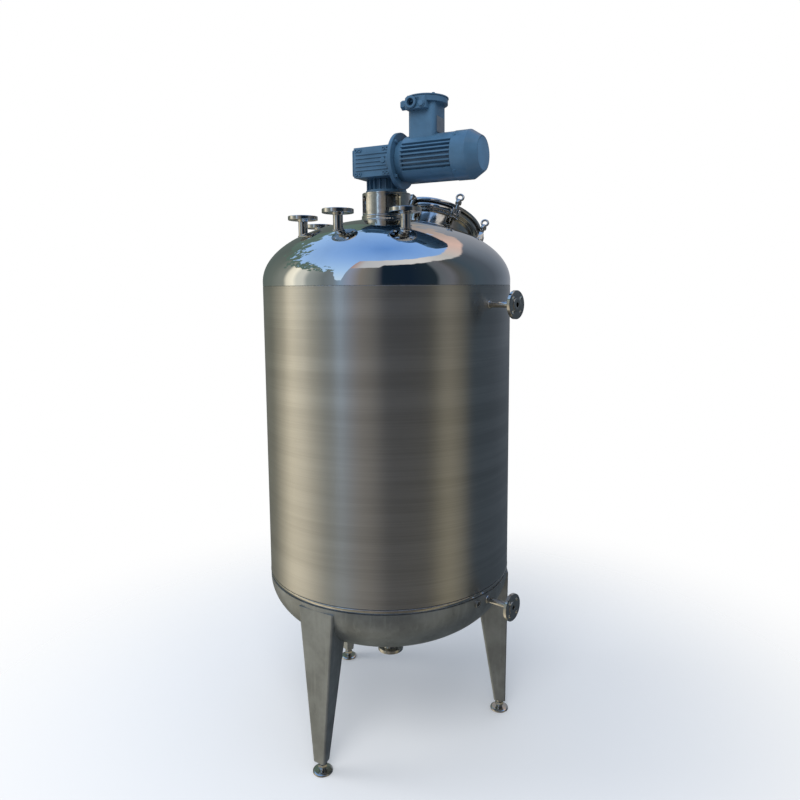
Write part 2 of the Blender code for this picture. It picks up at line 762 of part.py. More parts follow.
def make_agitator(axis):
    coupling_top = LANTERN_TOP - LANTERN_PLATE - 0.006
    coupling_bottom = coupling_top - COUPLING_HEIGHT
    middle = (coupling_top + coupling_bottom) / 2
    profile = [
        (0.0, SHAFT_END),
        (SHAFT_RADIUS, SHAFT_END),
        (SHAFT_RADIUS, coupling_bottom),
        (COUPLING_RADIUS, coupling_bottom),
        (COUPLING_RADIUS, middle - COUPLING_GROOVE / 2),
        (COUPLING_RADIUS - COUPLING_GROOVE, middle - COUPLING_GROOVE / 2),
        (COUPLING_RADIUS - COUPLING_GROOVE, middle + COUPLING_GROOVE / 2),
        (COUPLING_RADIUS, middle + COUPLING_GROOVE / 2),
        (COUPLING_RADIUS, coupling_top),
        (SHAFT_RADIUS, coupling_top),
        (SHAFT_RADIUS, GEARBOX_BOTTOM - SHAFT_TOP_GAP),
        (0.0, GEARBOX_BOTTOM - SHAFT_TOP_GAP),
    ]
    new_object("agitator_shaft", turned(profile, 24), "brushed_steel", axis)


def make_impeller(axis):
    bore = SHAFT_RADIUS + GAP
    half = IMPELLER_HUB_HEIGHT / 2
    profile = [(bore, -half), (IMPELLER_HUB, -half), (IMPELLER_HUB, half), (bore, half)]
    impeller = new_object("impeller", turned(profile, 24), "brushed_steel", axis)
    impeller.location.z = IMPELLER_HEIGHT
    for number in range(BLADE_COUNT):
        blade = block(
            (IMPELLER_HUB - 0.006, -BLADE_WIDTH / 2, -BLADE_THICK / 2),
            (BLADE_REACH, BLADE_WIDTH / 2, BLADE_THICK / 2),
        )
        moved(blade, turn(360 * number / BLADE_COUNT) @ turn(45, "X"))
        combine(impeller, cutter(f"blade_{number}", blade, impeller), "UNION")


def make_gearbox(axis):
    neck_bottom = LANTERN_TOP + GAP
    neck = [
        (OUTPUT_BORE, neck_bottom),
        (OUTPUT_FLANGE, neck_bottom),
        (OUTPUT_FLANGE, neck_bottom + OUTPUT_FLANGE_THICK - 0.001),
        (OUTPUT_NECK, neck_bottom + OUTPUT_FLANGE_THICK),
        (OUTPUT_NECK, GEARBOX_BOTTOM - GAP),
        (OUTPUT_BORE, GEARBOX_BOTTOM - GAP),
    ]
    new_object("gearbox_output_flange", turned(neck, 36), "blue_paint", axis)
    housing = rounded_block(
        (GEARBOX_LEFT, GEARBOX_FRONT, GEARBOX_BOTTOM),
        (GEARBOX_RIGHT, GEARBOX_BACK, GEARBOX_TOP),
        CASE_CORNER,
        "Z",
    )
    box = new_object("gearbox_housing", housing, "blue_paint", axis)
    nose = turned(
        [
            (0.0, GEARBOX_RIGHT - NOSE_ROOT),
            (NOSE_RADIUS, GEARBOX_RIGHT - NOSE_ROOT),
            (NOSE_RADIUS, MOTOR_FLANGE_START - GAP),
            (0.0, MOTOR_FLANGE_START - GAP),
        ],
        32,
    )
    combine(box, cutter("gearbox_nose", moved(nose, motor_matrix()), axis), "UNION")
    shoulder = GEAR_COVER_THICK - GEAR_COVER_CHAMFER / 2
    cover = [
        (0.0, 0.0),
        (GEAR_COVER, 0.0),
        (GEAR_COVER, shoulder),
        (GEAR_COVER - GEAR_COVER_CHAMFER, GEAR_COVER_THICK),
        (0.0, GEAR_COVER_THICK),
    ]
    lid = new_object("gearbox_cover", turned(cover, 32), "blue_paint", axis)
    lid.location.z = GEARBOX_TOP + GAP
    cap = rounded_block(
        (GEARBOX_LEFT - GAP - WORM_CAP, GEARBOX_FRONT + WORM_CAP_INSET, GEARBOX_BOTTOM + WORM_CAP_INSET),
        (GEARBOX_LEFT - GAP, GEARBOX_FRONT + WORM_CAP_INSET + WORM_CAP_WIDTH, GEARBOX_TOP - WORM_CAP_INSET),
        CASE_CORNER,
        "X",
    )
    new_object("worm_end_cover", cap, "blue_paint", axis)


def motor_matrix():
    """From the motor's own axis, +Z, to the worm's axis along +X."""
    return shift(0, -GEAR_CENTRES, WORM_HEIGHT) @ turn(90, "Y")


def motor_outline():
    """Corners of the motor's section: a circle with square grooves on its two upright sides."""
    points = []
    reach = GROOVE_PITCH * (GROOVE_COUNT - 1) / 2
    for side in (90, 270):
        for number in range(GROOVE_COUNT):
            middle = side - reach + GROOVE_PITCH * number
            for radius, angle in (
                (MOTOR_BODY, middle - GROOVE_HALF),
                (MOTOR_GROOVE, middle - GROOVE_HALF),
                (MOTOR_GROOVE, middle + GROOVE_HALF),
                (MOTOR_BODY, middle + GROOVE_HALF),
            ):
                points.append((radius, angle))
        start = side + reach + GROOVE_HALF
        sweep = 180 - 2 * (reach + GROOVE_HALF)
        points += [(MOTOR_BODY, start + sweep * step / 10) for step in range(1, 10)]
    return [
        (radius * math.cos(math.radians(angle)), radius * math.sin(math.radians(angle)))
        for radius, angle in points
    ]


def lifted(outline, low, high):
    """A prism along Z from its outline in the plane."""
    bm = bmesh.new()
    base = [bm.verts.new((x, y, low)) for x, y in outline]
    lid = [bm.verts.new((x, y, high)) for x, y in outline]
    bm.faces.new(list(reversed(base)))
    bm.faces.new(lid)
    for number in range(len(outline)):
        after = (number + 1) % len(outline)
        bm.faces.new((base[number], base[after], lid[after], lid[number]))
    return bm


def make_motor(axis):
    start = MOTOR_FLANGE_START
    face = start + MOTOR_FLANGE_THICK
    flange = [
        (0.0, start),
        (MOTOR_FLANGE, start),
        (MOTOR_FLANGE, face - 0.002),
        (MOTOR_FLANGE - 0.002, face),
        (0.0, face),
    ]
    plate = new_object("motor_flange", turned(flange, 48), "blue_paint", axis)
    plate.matrix_local = motor_matrix()
    combine(plate, cutter("cut_flange_bolts", pins(MOTOR_BOLT_HOLE, 0.04, MOTOR_BOLT_CIRCLE, 4, start - 0.01, 45), plate))
    body_start = face + GAP
    bell_end = body_start + MOTOR_BELL_LENGTH
    bell = [
        (0.0, body_start),
        (MOTOR_BELL - MOTOR_BELL_TAPER, body_start),
        (MOTOR_BELL, bell_end - 2 * MOTOR_BELL_TAPER),
        (MOTOR_BELL, bell_end),
        (0.0, bell_end),
    ]
    frame = new_object("motor_body", turned(bell, 48), "blue_paint", axis)
    frame.matrix_local = motor_matrix()
    barrel = lifted(motor_outline(), bell_end - 0.004, MOTOR_BODY_END)
    combine(frame, cutter("motor_barrel", barrel, frame), "UNION")
    seat = rounded_block(
        (BOX_CENTRE - BOX_WIDTH / 2 - GAP, -GEAR_CENTRES - BOX_DEPTH / 2 - GAP, BOX_FOOT - GAP),
        (BOX_CENTRE + BOX_WIDTH / 2 + GAP, -GEAR_CENTRES + BOX_DEPTH / 2 + GAP, BOX_FOOT + 0.05),
        BOX_CORNER,
        "Z",
    )
    combine(frame, cutter("cut_box_seat", seat, axis))


def make_fan_cover(axis):
    low = MOTOR_BODY_END + GAP
    cone = FAN_COVER_END - FAN_COVER_SLOPE
    wall = FAN_COVER_WALL
    cover = [
        (0.0, low),
        (FAN_COVER, low),
        (FAN_COVER, cone),
        (FAN_COVER_CONE, FAN_COVER_END),
        (FAN_COVER_CONE - FAN_COVER_RIM, FAN_COVER_END),
        (FAN_COVER_CONE - FAN_COVER_RIM, FAN_COVER_END - wall),
        (0.0, FAN_COVER_END - wall),
    ]
    shroud = new_object("fan_cover", turned(cover, 48), "blue_paint", axis)
    shroud.matrix_local = motor_matrix()
    disc = FAN_COVER_CONE - FAN_COVER_RIM - GAP
    face = [
        (0.0, FAN_COVER_END - wall + GAP),
        (disc, FAN_COVER_END - wall + GAP),
        (disc, FAN_COVER_END),
        (0.0, FAN_COVER_END),
    ]
    grille = new_object("fan_grille", turned(face, 36), "blue_paint", axis)
    grille.matrix_local = motor_matrix()


def entry_matrix(offset, height, out):
    """From an entry's own axis, +Z, to the front of the terminal box, -Y."""
    return shift(BOX_CENTRE + offset, -GEAR_CENTRES - out, height) @ turn(90, "X")


def box_block(left, right, front, back, bottom, top, corner):
    """A block about the box's middle, with its upright corners rounded."""
    low = (BOX_CENTRE + left, -GEAR_CENTRES - front, bottom)
    high = (BOX_CENTRE + right, -GEAR_CENTRES + back, top)
    return rounded_block(low, high, corner, "Z")


def disc(radius, low, high, sides):
    return turned([(0.0, low), (radius, low), (radius, high), (0.0, high)], sides)


def make_terminal_box(axis):
    half = BOX_WIDTH / 2
    deep = BOX_DEPTH / 2
    top = BOX_COVER_BOTTOM - GAP
    place = shift(BOX_CENTRE, -GEAR_CENTRES, 0)
    neck = box_block(-half, half, deep, deep, BOX_FOOT, top - 0.002, BOX_CORNER)
    box = new_object("terminal_box", neck, "blue_paint", axis)
    entries = box_block(ENTRY_LEFT, ENTRY_RIGHT, ENTRY_FACE, 0.0, ENTRY_BOTTOM, top - 0.004, 0.006)
    spare = shift(0, -SPARE_OFFSET, SPARE_HEIGHT) @ turn(-90, "Y")
    additions = {
        "box_head": moved(disc(BOX_HEAD_RADIUS, BOX_HEAD_BOTTOM, top, 48), place),
        "entry_block": entries,
        "spare_entry": moved(disc(SPARE_RADIUS, 0.0, -SPARE_END, 20), place @ spare),
    }
    for name, addition in additions.items():
        combine(box, cutter(name, addition, axis), "UNION")
    cover = [
        (0.0, BOX_COVER_BOTTOM),
        (BOX_COVER_RADIUS, BOX_COVER_BOTTOM),
        (BOX_COVER_RADIUS, BOX_COVER_TOP - BOX_COVER_CHAMFER),
        (BOX_COVER_RADIUS - BOX_COVER_CHAMFER, BOX_COVER_TOP),
        (0.0, BOX_COVER_TOP),
    ]
    lid = new_object("terminal_cover", turned(cover, 48), "blue_paint", axis)
    lid.location = (BOX_CENTRE, -GEAR_CENTRES, 0)
    gland = [
        (GLAND_BORE, GAP),
        (GLAND_RADIUS, GAP),
        (GLAND_RADIUS, GLAND_LENGTH - 0.002),
        (GLAND_RADIUS - 0.002, GLAND_LENGTH),
        (GLAND_BORE, GLAND_LENGTH),
    ]
    entry = new_object("cable_gland", turned(gland, 24), "blue_paint", axis)
    entry.matrix_local = entry_matrix(GLAND_OFFSET, GLAND_HEIGHT, ENTRY_FACE)
    plug = [
        (0.0, GAP),
        (PLUG_RADIUS, GAP),
        (PLUG_RADIUS, PLUG_LENGTH - 0.002),
        (PLUG_RADIUS - 0.002, PLUG_LENGTH),
        (0.0, PLUG_LENGTH),
    ]
    blank = new_object("blanking_plug", turned(plug, 6), "blue_paint", axis)
    blank.matrix_local = entry_matrix(PLUG_OFFSET, PLUG_HEIGHT, ENTRY_FACE)
    side = BOX_CENTRE + half + GAP
    plate = block(
        (side, -GEAR_CENTRES - PLATE_WIDTH / 2, BOX_FOOT + PLATE_LOW),
        (side + PLATE_THICK, -GEAR_CENTRES + PLATE_WIDTH / 2, BOX_FOOT + PLATE_HIGH),
    )
    new_object("bare_plate", plate, "bare_plate", axis)


def make_cuts(axis):
    """The holes that pipes and the manway's neck pass through."""
    cuts = {
        "upper_side": hole_cutter(
            "cut_upper_side", axis, SIDE_PIPE + GAP, side_matrix(SIDE_NOZZLE_HIGH) @ shift(0, 0, TANK_RADIUS), 0.0366
        ),
        "lower_side": hole_cutter(
            "cut_lower_side", axis, SIDE_PIPE + GAP, side_matrix(SIDE_NOZZLE_LOW) @ shift(0, 0, TANK_RADIUS), 0.12
        ),
        "socket": hole_cutter(
            "cut_socket",
            axis,
            SOCKET_RADIUS + GAP,
            side_matrix(SOCKET_HEIGHT, SOCKET_ANGLE) @ shift(0, 0, TANK_RADIUS),
            0.12,
        ),
        "manway": hole_cutter("cut_manway", axis, MANWAY_NECK + GAP, manway_matrix(), 0.3, MANWAY_SIDES),
    }
    for name, (angle, reach, _) in TOP_NOZZLES.items():
        place = turn(angle) @ shift(reach, 0, SEAM_TOP + head_height(reach))
        cuts[f"top_{name}"] = hole_cutter(f"cut_top_{name}", axis, TOP_PIPE + GAP, place, 0.2)
    return cuts


def centre_on_floor(axis):
    """Move the tank so that the middle of the pieces' box, seen from above, is the origin."""
    shapes = bpy.context.evaluated_depsgraph_get()
    corners = []
    for piece in bpy.data.objects:
        if piece.type == "MESH" and not piece.hide_render:
            made = piece.evaluated_get(shapes)
            corners += [made.matrix_world @ vertex.co for vertex in made.data.vertices]
    for way in (0, 1):
        values = [corner[way] for corner in corners]
        axis.location[way] = -(min(values) + max(values)) / 2


def main():
    for old in list(bpy.data.objects):
        bpy.data.objects.remove(old)
    axis = bpy.data.objects.new("tank_axis", None)
    bpy.context.scene.collection.objects.link(axis)
    cuts = make_cuts(axis)
    make_shell(axis, cuts)
    make_lower_seam(axis)
    make_top_head(axis, cuts)
    make_bottom_head(axis, cuts)
    make_bottom_outlet(axis)
    make_legs(axis)
    make_feet(axis)
    make_top_nozzles(axis)
    make_side_nozzles(axis)
    make_socket(axis)
    make_manway_neck(axis)
    make_manway_gasket(axis)
    make_manway_lid(axis)
    make_swing_bolts(axis)
    make_drive_ring(axis)
    make_lantern(axis)
    make_seal_housing(axis)
    make_agitator(axis)
    make_impeller(axis)
    make_gearbox(axis)
    make_motor(axis)
    make_fan_cover(axis)
    make_terminal_box(axis)
    centre_on_floor(axis)


main()
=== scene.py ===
import math

import bmesh
import bpy
import numpy as np
from bpy.props import FloatProperty, FloatVectorProperty, IntProperty, PointerProperty
from mathutils import Matrix, Vector


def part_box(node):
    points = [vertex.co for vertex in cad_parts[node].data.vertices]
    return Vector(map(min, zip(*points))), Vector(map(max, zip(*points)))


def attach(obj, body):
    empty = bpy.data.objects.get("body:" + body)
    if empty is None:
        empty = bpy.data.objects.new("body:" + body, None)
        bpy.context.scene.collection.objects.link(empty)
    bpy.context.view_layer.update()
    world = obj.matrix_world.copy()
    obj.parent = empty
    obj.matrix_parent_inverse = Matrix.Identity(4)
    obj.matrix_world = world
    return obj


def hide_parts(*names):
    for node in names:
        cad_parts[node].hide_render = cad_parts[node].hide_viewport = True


bl_info = {
    "name": "Jacketed mixing tank",
    "version": (1, 0, 0),
    "blender": (4, 5, 0),
    "location": "3D View > Sidebar > Tank",
    "description": "Dresses a stainless mixing tank with a worm gear drive",
    "category": "Add Mesh",
}

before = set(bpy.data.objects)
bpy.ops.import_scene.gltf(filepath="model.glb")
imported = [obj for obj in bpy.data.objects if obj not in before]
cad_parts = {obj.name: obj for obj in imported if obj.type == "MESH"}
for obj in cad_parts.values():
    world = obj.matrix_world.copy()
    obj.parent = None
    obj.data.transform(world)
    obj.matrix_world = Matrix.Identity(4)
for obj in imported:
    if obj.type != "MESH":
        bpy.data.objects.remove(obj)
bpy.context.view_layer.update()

TAU = 2 * math.pi
SMOOTH_SIDES = 256
ROUND_SIDES = 64
SMALL_SIDES = 24
SHELL_LOW, SHELL_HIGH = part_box("shell")
AXIS = (SHELL_LOW + SHELL_HIGH) / 2
AXIS.z = 0.0
TANK_RADIUS = (SHELL_HIGH.x - SHELL_LOW.x) / 2
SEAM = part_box("top_head")[0].z
HEAD_SKIN = 0.008
TOP_LIP = 0.015
TOP_RISE = 0.23
BOTTOM_LIP = 0.006
BOTTOM_DROP = 0.25
GAP = 0.0003


# Points and grids


def grid(points, wrap_rows=False, wrap_columns=False):
    """Points (rows, columns, 3) with a quad between each four neighbours; a wrapped way joins its last line to its first."""
    rows, columns = points.shape[:2]
    index = np.arange(rows * columns).reshape(rows, columns)
    if wrap_rows:
        index = np.vstack([index, index[:1]])
    if wrap_columns:
        index = np.hstack([index, index[:, :1]])
    quads = np.stack([index[:-1, :-1], index[:-1, 1:], index[1:, 1:], index[1:, :-1]], axis=-1)
    return points.reshape(-1, 3), quads.reshape(-1, 4)


def gather(*parts):
    """Several (points, quads) pairs as one pair."""
    starts = np.cumsum([0] + [len(points) for points, _ in parts[:-1]])
    points = np.concatenate([points for points, _ in parts])
    quads = np.concatenate([quads + start for (_, quads), start in zip(parts, starts)])
    return points, quads


def placed(part, matrix):
    """Each point p becomes R p + t of the matrix."""
    m = np.array(matrix)
    return part[0] @ m[:3, :3].T + m[:3, 3], part[1]


def around(part, count, first=0.0, span=TAU):
    """Copies of a part at equal turns about Z."""
    turns = first + np.arange(count) * span / count
    return gather(*[placed(part, Matrix.Rotation(a, 4, "Z")) for a in turns])


def turn(degrees, axis="Z"):
    return Matrix.Rotation(math.radians(degrees), 4, axis)


def shift(x, y, z):
    return Matrix.Translation((x, y, z))


def eased(profile, radius, steps=3, closed=True):
    """Corner C between neighbours becomes (1-t)^2 A + 2t(1-t) C + t^2 B, where A and B lie a radius away along the sides."""
    corner = np.asarray(profile, float)
    before, after = np.roll(corner, 1, axis=0), np.roll(corner, -1, axis=0)

    def towards(other):
        way = other - corner
        length = np.linalg.norm(way, axis=1, keepdims=True)
        return corner + way / np.maximum(length, 1e-9) * np.minimum(radius, 0.45 * length)

    a, b = towards(before), towards(after)
    t = np.linspace(0, 1, steps + 1)[None, :, None]
    curve = (1 - t) ** 2 * a[:, None] + 2 * t * (1 - t) * corner[:, None] + t**2 * b[:, None]
    if closed:
        return curve.reshape(-1, 2)
    return np.concatenate([corner[:1], curve[1:-1].reshape(-1, 2), corner[-1:]])


def turned(profile, sides=ROUND_SIDES, closed=True):
    """A profile of (radius, height) carried round Z: (r cos a, r sin a, h)."""
    radius, height = np.asarray(profile, float).T
    a = (np.arange(sides) * TAU / sides)[:, None]
    points = np.stack([radius * np.cos(a), radius * np.sin(a), np.broadcast_to(height, (sides, len(height)))], axis=-1)
    return grid(points, wrap_rows=True, wrap_columns=closed)


def solid_of_turn(profile, sides=ROUND_SIDES, ease=0.001):
    """A profile that starts and ends on the axis, its other corners eased, carried round Z."""
    return turned(eased(profile, ease, closed=False), sides, closed=False)


def ring_of_turn(profile, sides=ROUND_SIDES, ease=0.001):
    """A closed profile clear of the axis, its corners eased, carried round Z."""
    return turned(eased(profile, ease), sides)


def circle(radius, sides=SMALL_SIDES):
    a = np.arange(sides) * TAU / sides
    return radius * np.stack([np.cos(a), np.sin(a)], axis=-1)


def rounded_rectangle(width, depth, radius, steps=5):
    """Four quarter circles about centres that stand a radius inside the corners."""
    quarter = np.linspace(0, TAU / 4, steps)
    start = np.arange(4)[:, None] * TAU / 4
    sign = np.array([[1, 1], [-1, 1], [-1, -1], [1, -1]])[:, None, :]
    arc = np.stack([np.cos(start + quarter), np.sin(start + quarter)], axis=-1)
    centre = sign * np.array([width / 2 - radius, depth / 2 - radius])
    return (centre + radius * arc).reshape(-1, 2)


def prism(outline, low, high, ease=0.001, steps=3):
    """An outline lifted along Z; near each end it shrinks by ease * (1 - cos t) while it rises by ease * sin t, and closes at its middle."""
    outline = np.asarray(outline, float)
    middle = outline.mean(axis=0)
    reach = np.linalg.norm(outline - middle, axis=1, keepdims=True)
    t = np.linspace(0, TAU / 4, steps + 1)
    inset = ease * (1 - np.cos(t[::-1]))
    rise = ease * (1 - np.sin(t[::-1]))
    inset = np.concatenate([inset, inset[::-1]])
    level = np.concatenate([low + rise, high - rise[::-1]])
    flat = middle + (outline - middle) * (1 - inset[:, None, None] / reach)
    walls = np.concatenate([flat, np.broadcast_to(level[:, None, None], (*flat.shape[:2], 1))], axis=-1)
    ends = [np.broadcast_to([*middle, z], (1, len(outline), 3)) for z in (low, high)]
    return grid(np.concatenate([ends[0], walls, ends[1]]), wrap_columns=True)


def box_solid(low, high, ease=0.001, corner=None):
    """A block with eased rims and rounded uprights."""
    low, high = np.asarray(low, float), np.asarray(high, float)
    size = high - low
    outline = rounded_rectangle(size[0], size[1], corner or min(size[:2]) * 0.12) + (low + high)[:2] / 2
    return prism(outline, low[2], high[2], ease)


def swept(path, normal, section, closed=False):
    """A section (s, n) carried along a flat path: P + s * (normal x tangent) + n * normal; open ends close at the path."""
    path, normal = np.asarray(path, float), np.asarray(normal, float)
    tangent = np.roll(path, -1, axis=0) - np.roll(path, 1, axis=0) if closed else np.gradient(path, axis=0)
    tangent /= np.linalg.norm(tangent, axis=1, keepdims=True)
    side = np.cross(normal, tangent)
    points = path[:, None] + section[None, :, :1] * side[:, None] + section[None, :, 1:] * normal
    if not closed:
        ends = [np.broadcast_to(path[i], (1, len(section), 3)) for i in (0, -1)]
        points = np.concatenate([ends[0], points, ends[1]])
    return grid(points, wrap_rows=closed, wrap_columns=True)


def torus(radius, wire, sides=40, section=14):
    """A small circle carried round a large one about Z."""
    return turned(circle(wire, section) + [radius, 0], sides)


def bead(radius, height, wire, sides=ROUND_SIDES):
    """A weld: a ring whose wire swells and shrinks by 12 % in small ripples."""
    a = np.arange(sides * 4) * TAU / (sides * 4)
    swell = wire * (1 + 0.12 * np.sin(a * sides))[:, None]
    s = circle(1.0, 8)
    r = radius + swell * s[:, 0]
    points = np.stack([r * np.cos(a)[:, None], r * np.sin(a)[:, None], height + swell * s[:, 1]], axis=-1)
    return grid(points, wrap_rows=True, wrap_columns=True)


def web(boundary, middle, hole):
    """Straight lines from a hole's edge out to a boundary loop, in the plane."""
    way = boundary - middle
    way /= np.linalg.norm(way, axis=1, keepdims=True)
    inner = middle + way * hole(way)[:, None]
    t = np.linspace(0, 1, 4)[:, None, None]
    return inner + (boundary - inner) * t


def drilled_plate(bore, outer, hole_circle, hole, count, low, high, ease=0.001, first=0.0, per=17):
    """A ring cut into equal sectors, each a web round its bolt hole; walls are the bore, the rim and the holes."""
    half = math.pi / count
    r0, r1 = bore + ease, outer - ease
    arc = np.linspace(-half, half, per)
    line = np.linspace(r0, r1, 5)[1:-1]
    radius = np.concatenate([np.full(per, r0), line, np.full(per, r1), line[::-1]])
    angle = np.concatenate([arc, np.full(3, half), arc[::-1], np.full(3, -half)])
    boundary = np.stack([radius * np.cos(angle), radius * np.sin(angle)], axis=-1)
    flat = web(boundary, np.array([hole_circle, 0.0]), lambda way: np.full(len(way), hole))
    level = [np.concatenate([flat, np.full((*flat.shape[:2], 1), z)], axis=-1) for z in (low, high)]
    faces = [grid(points, wrap_columns=True) for points in level]
    inside = grid(np.stack([level[0][0], level[1][0]]), wrap_columns=True)
    sector = around(gather(*faces, inside), count)
    sides = count * (per - 1)
    spin = Matrix.Rotation(-half, 4, "Z")
    rim = placed(turned([(r1, high), (outer, high - ease), (outer, low + ease), (r1, low)], sides, False), spin)
    well = placed(turned([(r0, low), (bore, low + ease), (bore, high - ease), (r0, high)], sides, False), spin)
    return placed(gather(sector, rim, well), Matrix.Rotation(first, 4, "Z"))


def hexagon(across):
    return circle(across / math.sqrt(3), 6)


def hex_bolt(across=0.010, head=0.0055, washer=0.0012):
    """A hexagon head on its washer, seat at zero, pointing along +Z."""
    disc = solid_of_turn([(0, 0), (across * 0.72, 0), (across * 0.72, washer), (0, washer)], 20, 0.0003)
    body = prism(hexagon(across), washer, washer + head, 0.0006)
    return gather(disc, body)


def socket_screw(radius=0.0045, head=0.004):
    """A round head with a hexagon well, seat at zero, pointing along +Z."""
    wall = solid_of_turn(
        [(0, 0), (radius, 0), (radius, head), (radius * 0.55, head), (radius * 0.5, head * 0.45), (0, head * 0.45)], 18, 0.0004
    )
    return wall


# Meshes


def make_piece(name, part, finish, body="tank", replaces=(), sharp=38):
    """Puts a (points, quads) pair into the scene as a mesh that rides on a body."""
    points, quads = placed(part, Matrix.Translation(AXIS))
    mesh = bpy.data.meshes.new(name)
    mesh.from_pydata(points.tolist(), [], quads.tolist())
    shape = bmesh.new()
    shape.from_mesh(mesh)
    bmesh.ops.remove_doubles(shape, verts=shape.verts, dist=2e-6)
    bmesh.ops.dissolve_degenerate(shape, dist=1e-7, edges=shape.edges)
    bmesh.ops.recalc_face_normals(shape, faces=shape.faces)
    shape.to_mesh(mesh)
    shape.free()
    mesh.shade_smooth()
    mesh.set_sharp_from_angle(angle=math.radians(sharp))
    made = bpy.data.objects.new(name, mesh)
    bpy.context.scene.collection.objects.link(made)
    mesh.materials.append(FINISH[finish])
    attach(made, body)
    if replaces:
        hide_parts(*replaces)
    return made


def give_finish(finish, *nodes):
    """A CAD node keeps its mesh and takes a finish."""
    for node in nodes:
        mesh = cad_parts[node].data
        mesh.materials.clear()
        mesh.materials.append(FINISH[finish])


def centre_of(node):
    """The middle of a node's box, in the tank's own frame."""
    low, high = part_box(node)
    return (low + high) / 2 - AXIS


def cut_with(piece, part):
    """Takes a part's space out of a finished piece and keeps the result as its mesh."""
    tool = bpy.data.meshes.new("cut")
    points, quads = placed(part, Matrix.Translation(AXIS))
    tool.from_pydata(points.tolist(), [], quads.tolist())
    shape = bmesh.new()
    shape.from_mesh(tool)
    bmesh.ops.remove_doubles(shape, verts=shape.verts, dist=2e-6)
    bmesh.ops.recalc_face_normals(shape, faces=shape.faces)
    shape.to_mesh(tool)
    shape.free()
    holder = bpy.data.objects.new("cut", tool)
    bpy.context.scene.collection.objects.link(holder)
    knife = piece.modifiers.new("cut", "BOOLEAN")
    knife.object = holder
    knife.solver = "EXACT"
    bpy.context.view_layer.update()
    evaluated = piece.evaluated_get(bpy.context.evaluated_depsgraph_get())
    result = bpy.data.meshes.new_from_object(evaluated)
    piece.modifiers.clear()
    old = piece.data
    piece.data = result
    result.name = old.name
    bpy.data.meshes.remove(old)
    bpy.data.objects.remove(holder)
    bpy.data.meshes.remove(tool)


# Finishes


class Wire:
    """A node's output; arithmetic on it adds Math nodes."""

    def __init__(self, shading, socket):
        self.shading = shading
        self.socket = socket

    def maths(self, operation, *others, clamp=False):
        values = dict(enumerate((self, *others)))
        return self.shading.node("ShaderNodeMath", {"operation": operation, "use_clamp": clamp}, values)

    def __add__(self, other):
        return self.maths("ADD", other)

    def __sub__(self, other):
        return self.maths("SUBTRACT", other)

    def __rsub__(self, other):
        return self.shading.node("ShaderNodeMath", {"operation": "SUBTRACT"}, {0: other, 1: self})

    def __mul__(self, other):
        return self.maths("MULTIPLY", other)

    def __truediv__(self, other):
        return self.maths("DIVIDE", other)

    __radd__ = __add__
    __rmul__ = __mul__

    def smooth(self, low, high):
        """0 below low, 1 above high and smooth between."""
        return self.shading.node(
            "ShaderNodeMapRange", {"interpolation_type": "SMOOTHSTEP"}, {"Value": self, "From Min": low, "From Max": high}
        )


class Shading:
    """The node tree of a material or world."""

    def __init__(self, owner):
        owner.use_nodes = True
        self.tree = owner.node_tree
        self.tree.nodes.clear()

    def node(self, kind, settings=None, sockets=None, output=0):
        made = self.tree.nodes.new(kind)
        for name, value in (settings or {}).items():
            if name == "stops":
                set_stops(made.color_ramp, value)
            elif name == "ramp_interpolation":
                made.color_ramp.interpolation = value
            else:
                setattr(made, name, value)
        for name, value in (sockets or {}).items():
            if isinstance(value, Wire):
                self.tree.links.new(value.socket, made.inputs[name])
            else:
                made.inputs[name].default_value = value
        return Wire(self, made.outputs[output])

    def place(self, scale=(1, 1, 1), turn=(0, 0, 0)):
        """Object coordinates, turned and scaled."""
        where = self.node("ShaderNodeTexCoord", output="Object")
        return self.node("ShaderNodeMapping", None, {"Vector": where, "Scale": scale, "Rotation": turn})

    def noise(self, scale, detail=4.0, roughness=0.55, stretch=(1, 1, 1), turn=(0, 0, 0)):
        where = self.place(stretch, turn)
        values = {"Vector": where, "Scale": scale, "Detail": detail, "Roughness": roughness}
        return self.node("ShaderNodeTexNoise", None, values)

    def ramp(self, value, stops, interpolation="LINEAR"):
        return self.node("ShaderNodeValToRGB", {"stops": stops, "ramp_interpolation": interpolation}, {"Fac": value})

    def mix(self, share, first, second):
        """One colour blends into another."""
        return self.node(
            "ShaderNodeMix", {"data_type": "RGBA"}, {0: share, 6: colour(first), 7: colour(second)}, output=2
        )

    def bump(self, height, strength, distance, normal=None):
        values = {"Height": height, "Strength": strength, "Distance": distance}
        if normal:
            values["Normal"] = normal
        return self.node("ShaderNodeBump", None, values)

    def finish(self, **sockets):
        """The one shader of a surface."""
        names = {name.replace("_", " "): colour(value) for name, value in sockets.items()}
        shader = self.node("ShaderNodeBsdfPrincipled", None, names, output="BSDF")
        self.node_output("ShaderNodeOutputMaterial", shader)

    def node_output(self, kind, shader):
        made = self.tree.nodes.new(kind)
        self.tree.links.new(shader.socket, made.inputs["Surface"])


def colour(value):
    """Three numbers become a colour with alpha."""
    if isinstance(value, Wire) or not hasattr(value, "__len__"):
        return value
    return (*value, 1.0) if len(value) == 3 else tuple(value)


def set_stops(ramp, stops):
    for position, _ in stops[2:]:
        ramp.elements.new(position)
    for element, (position, shade) in zip(ramp.elements, stops):
        element.position = position
        element.color = colour(shade if hasattr(shade, "__len__") else (shade,) * 3)


FINISH = {}


def new_finish(name):
    made = bpy.data.materials.new(name)
    FINISH[name] = made
    return Shading(made)


def shade(base, amount):
    return tuple(channel * amount for channel in base)


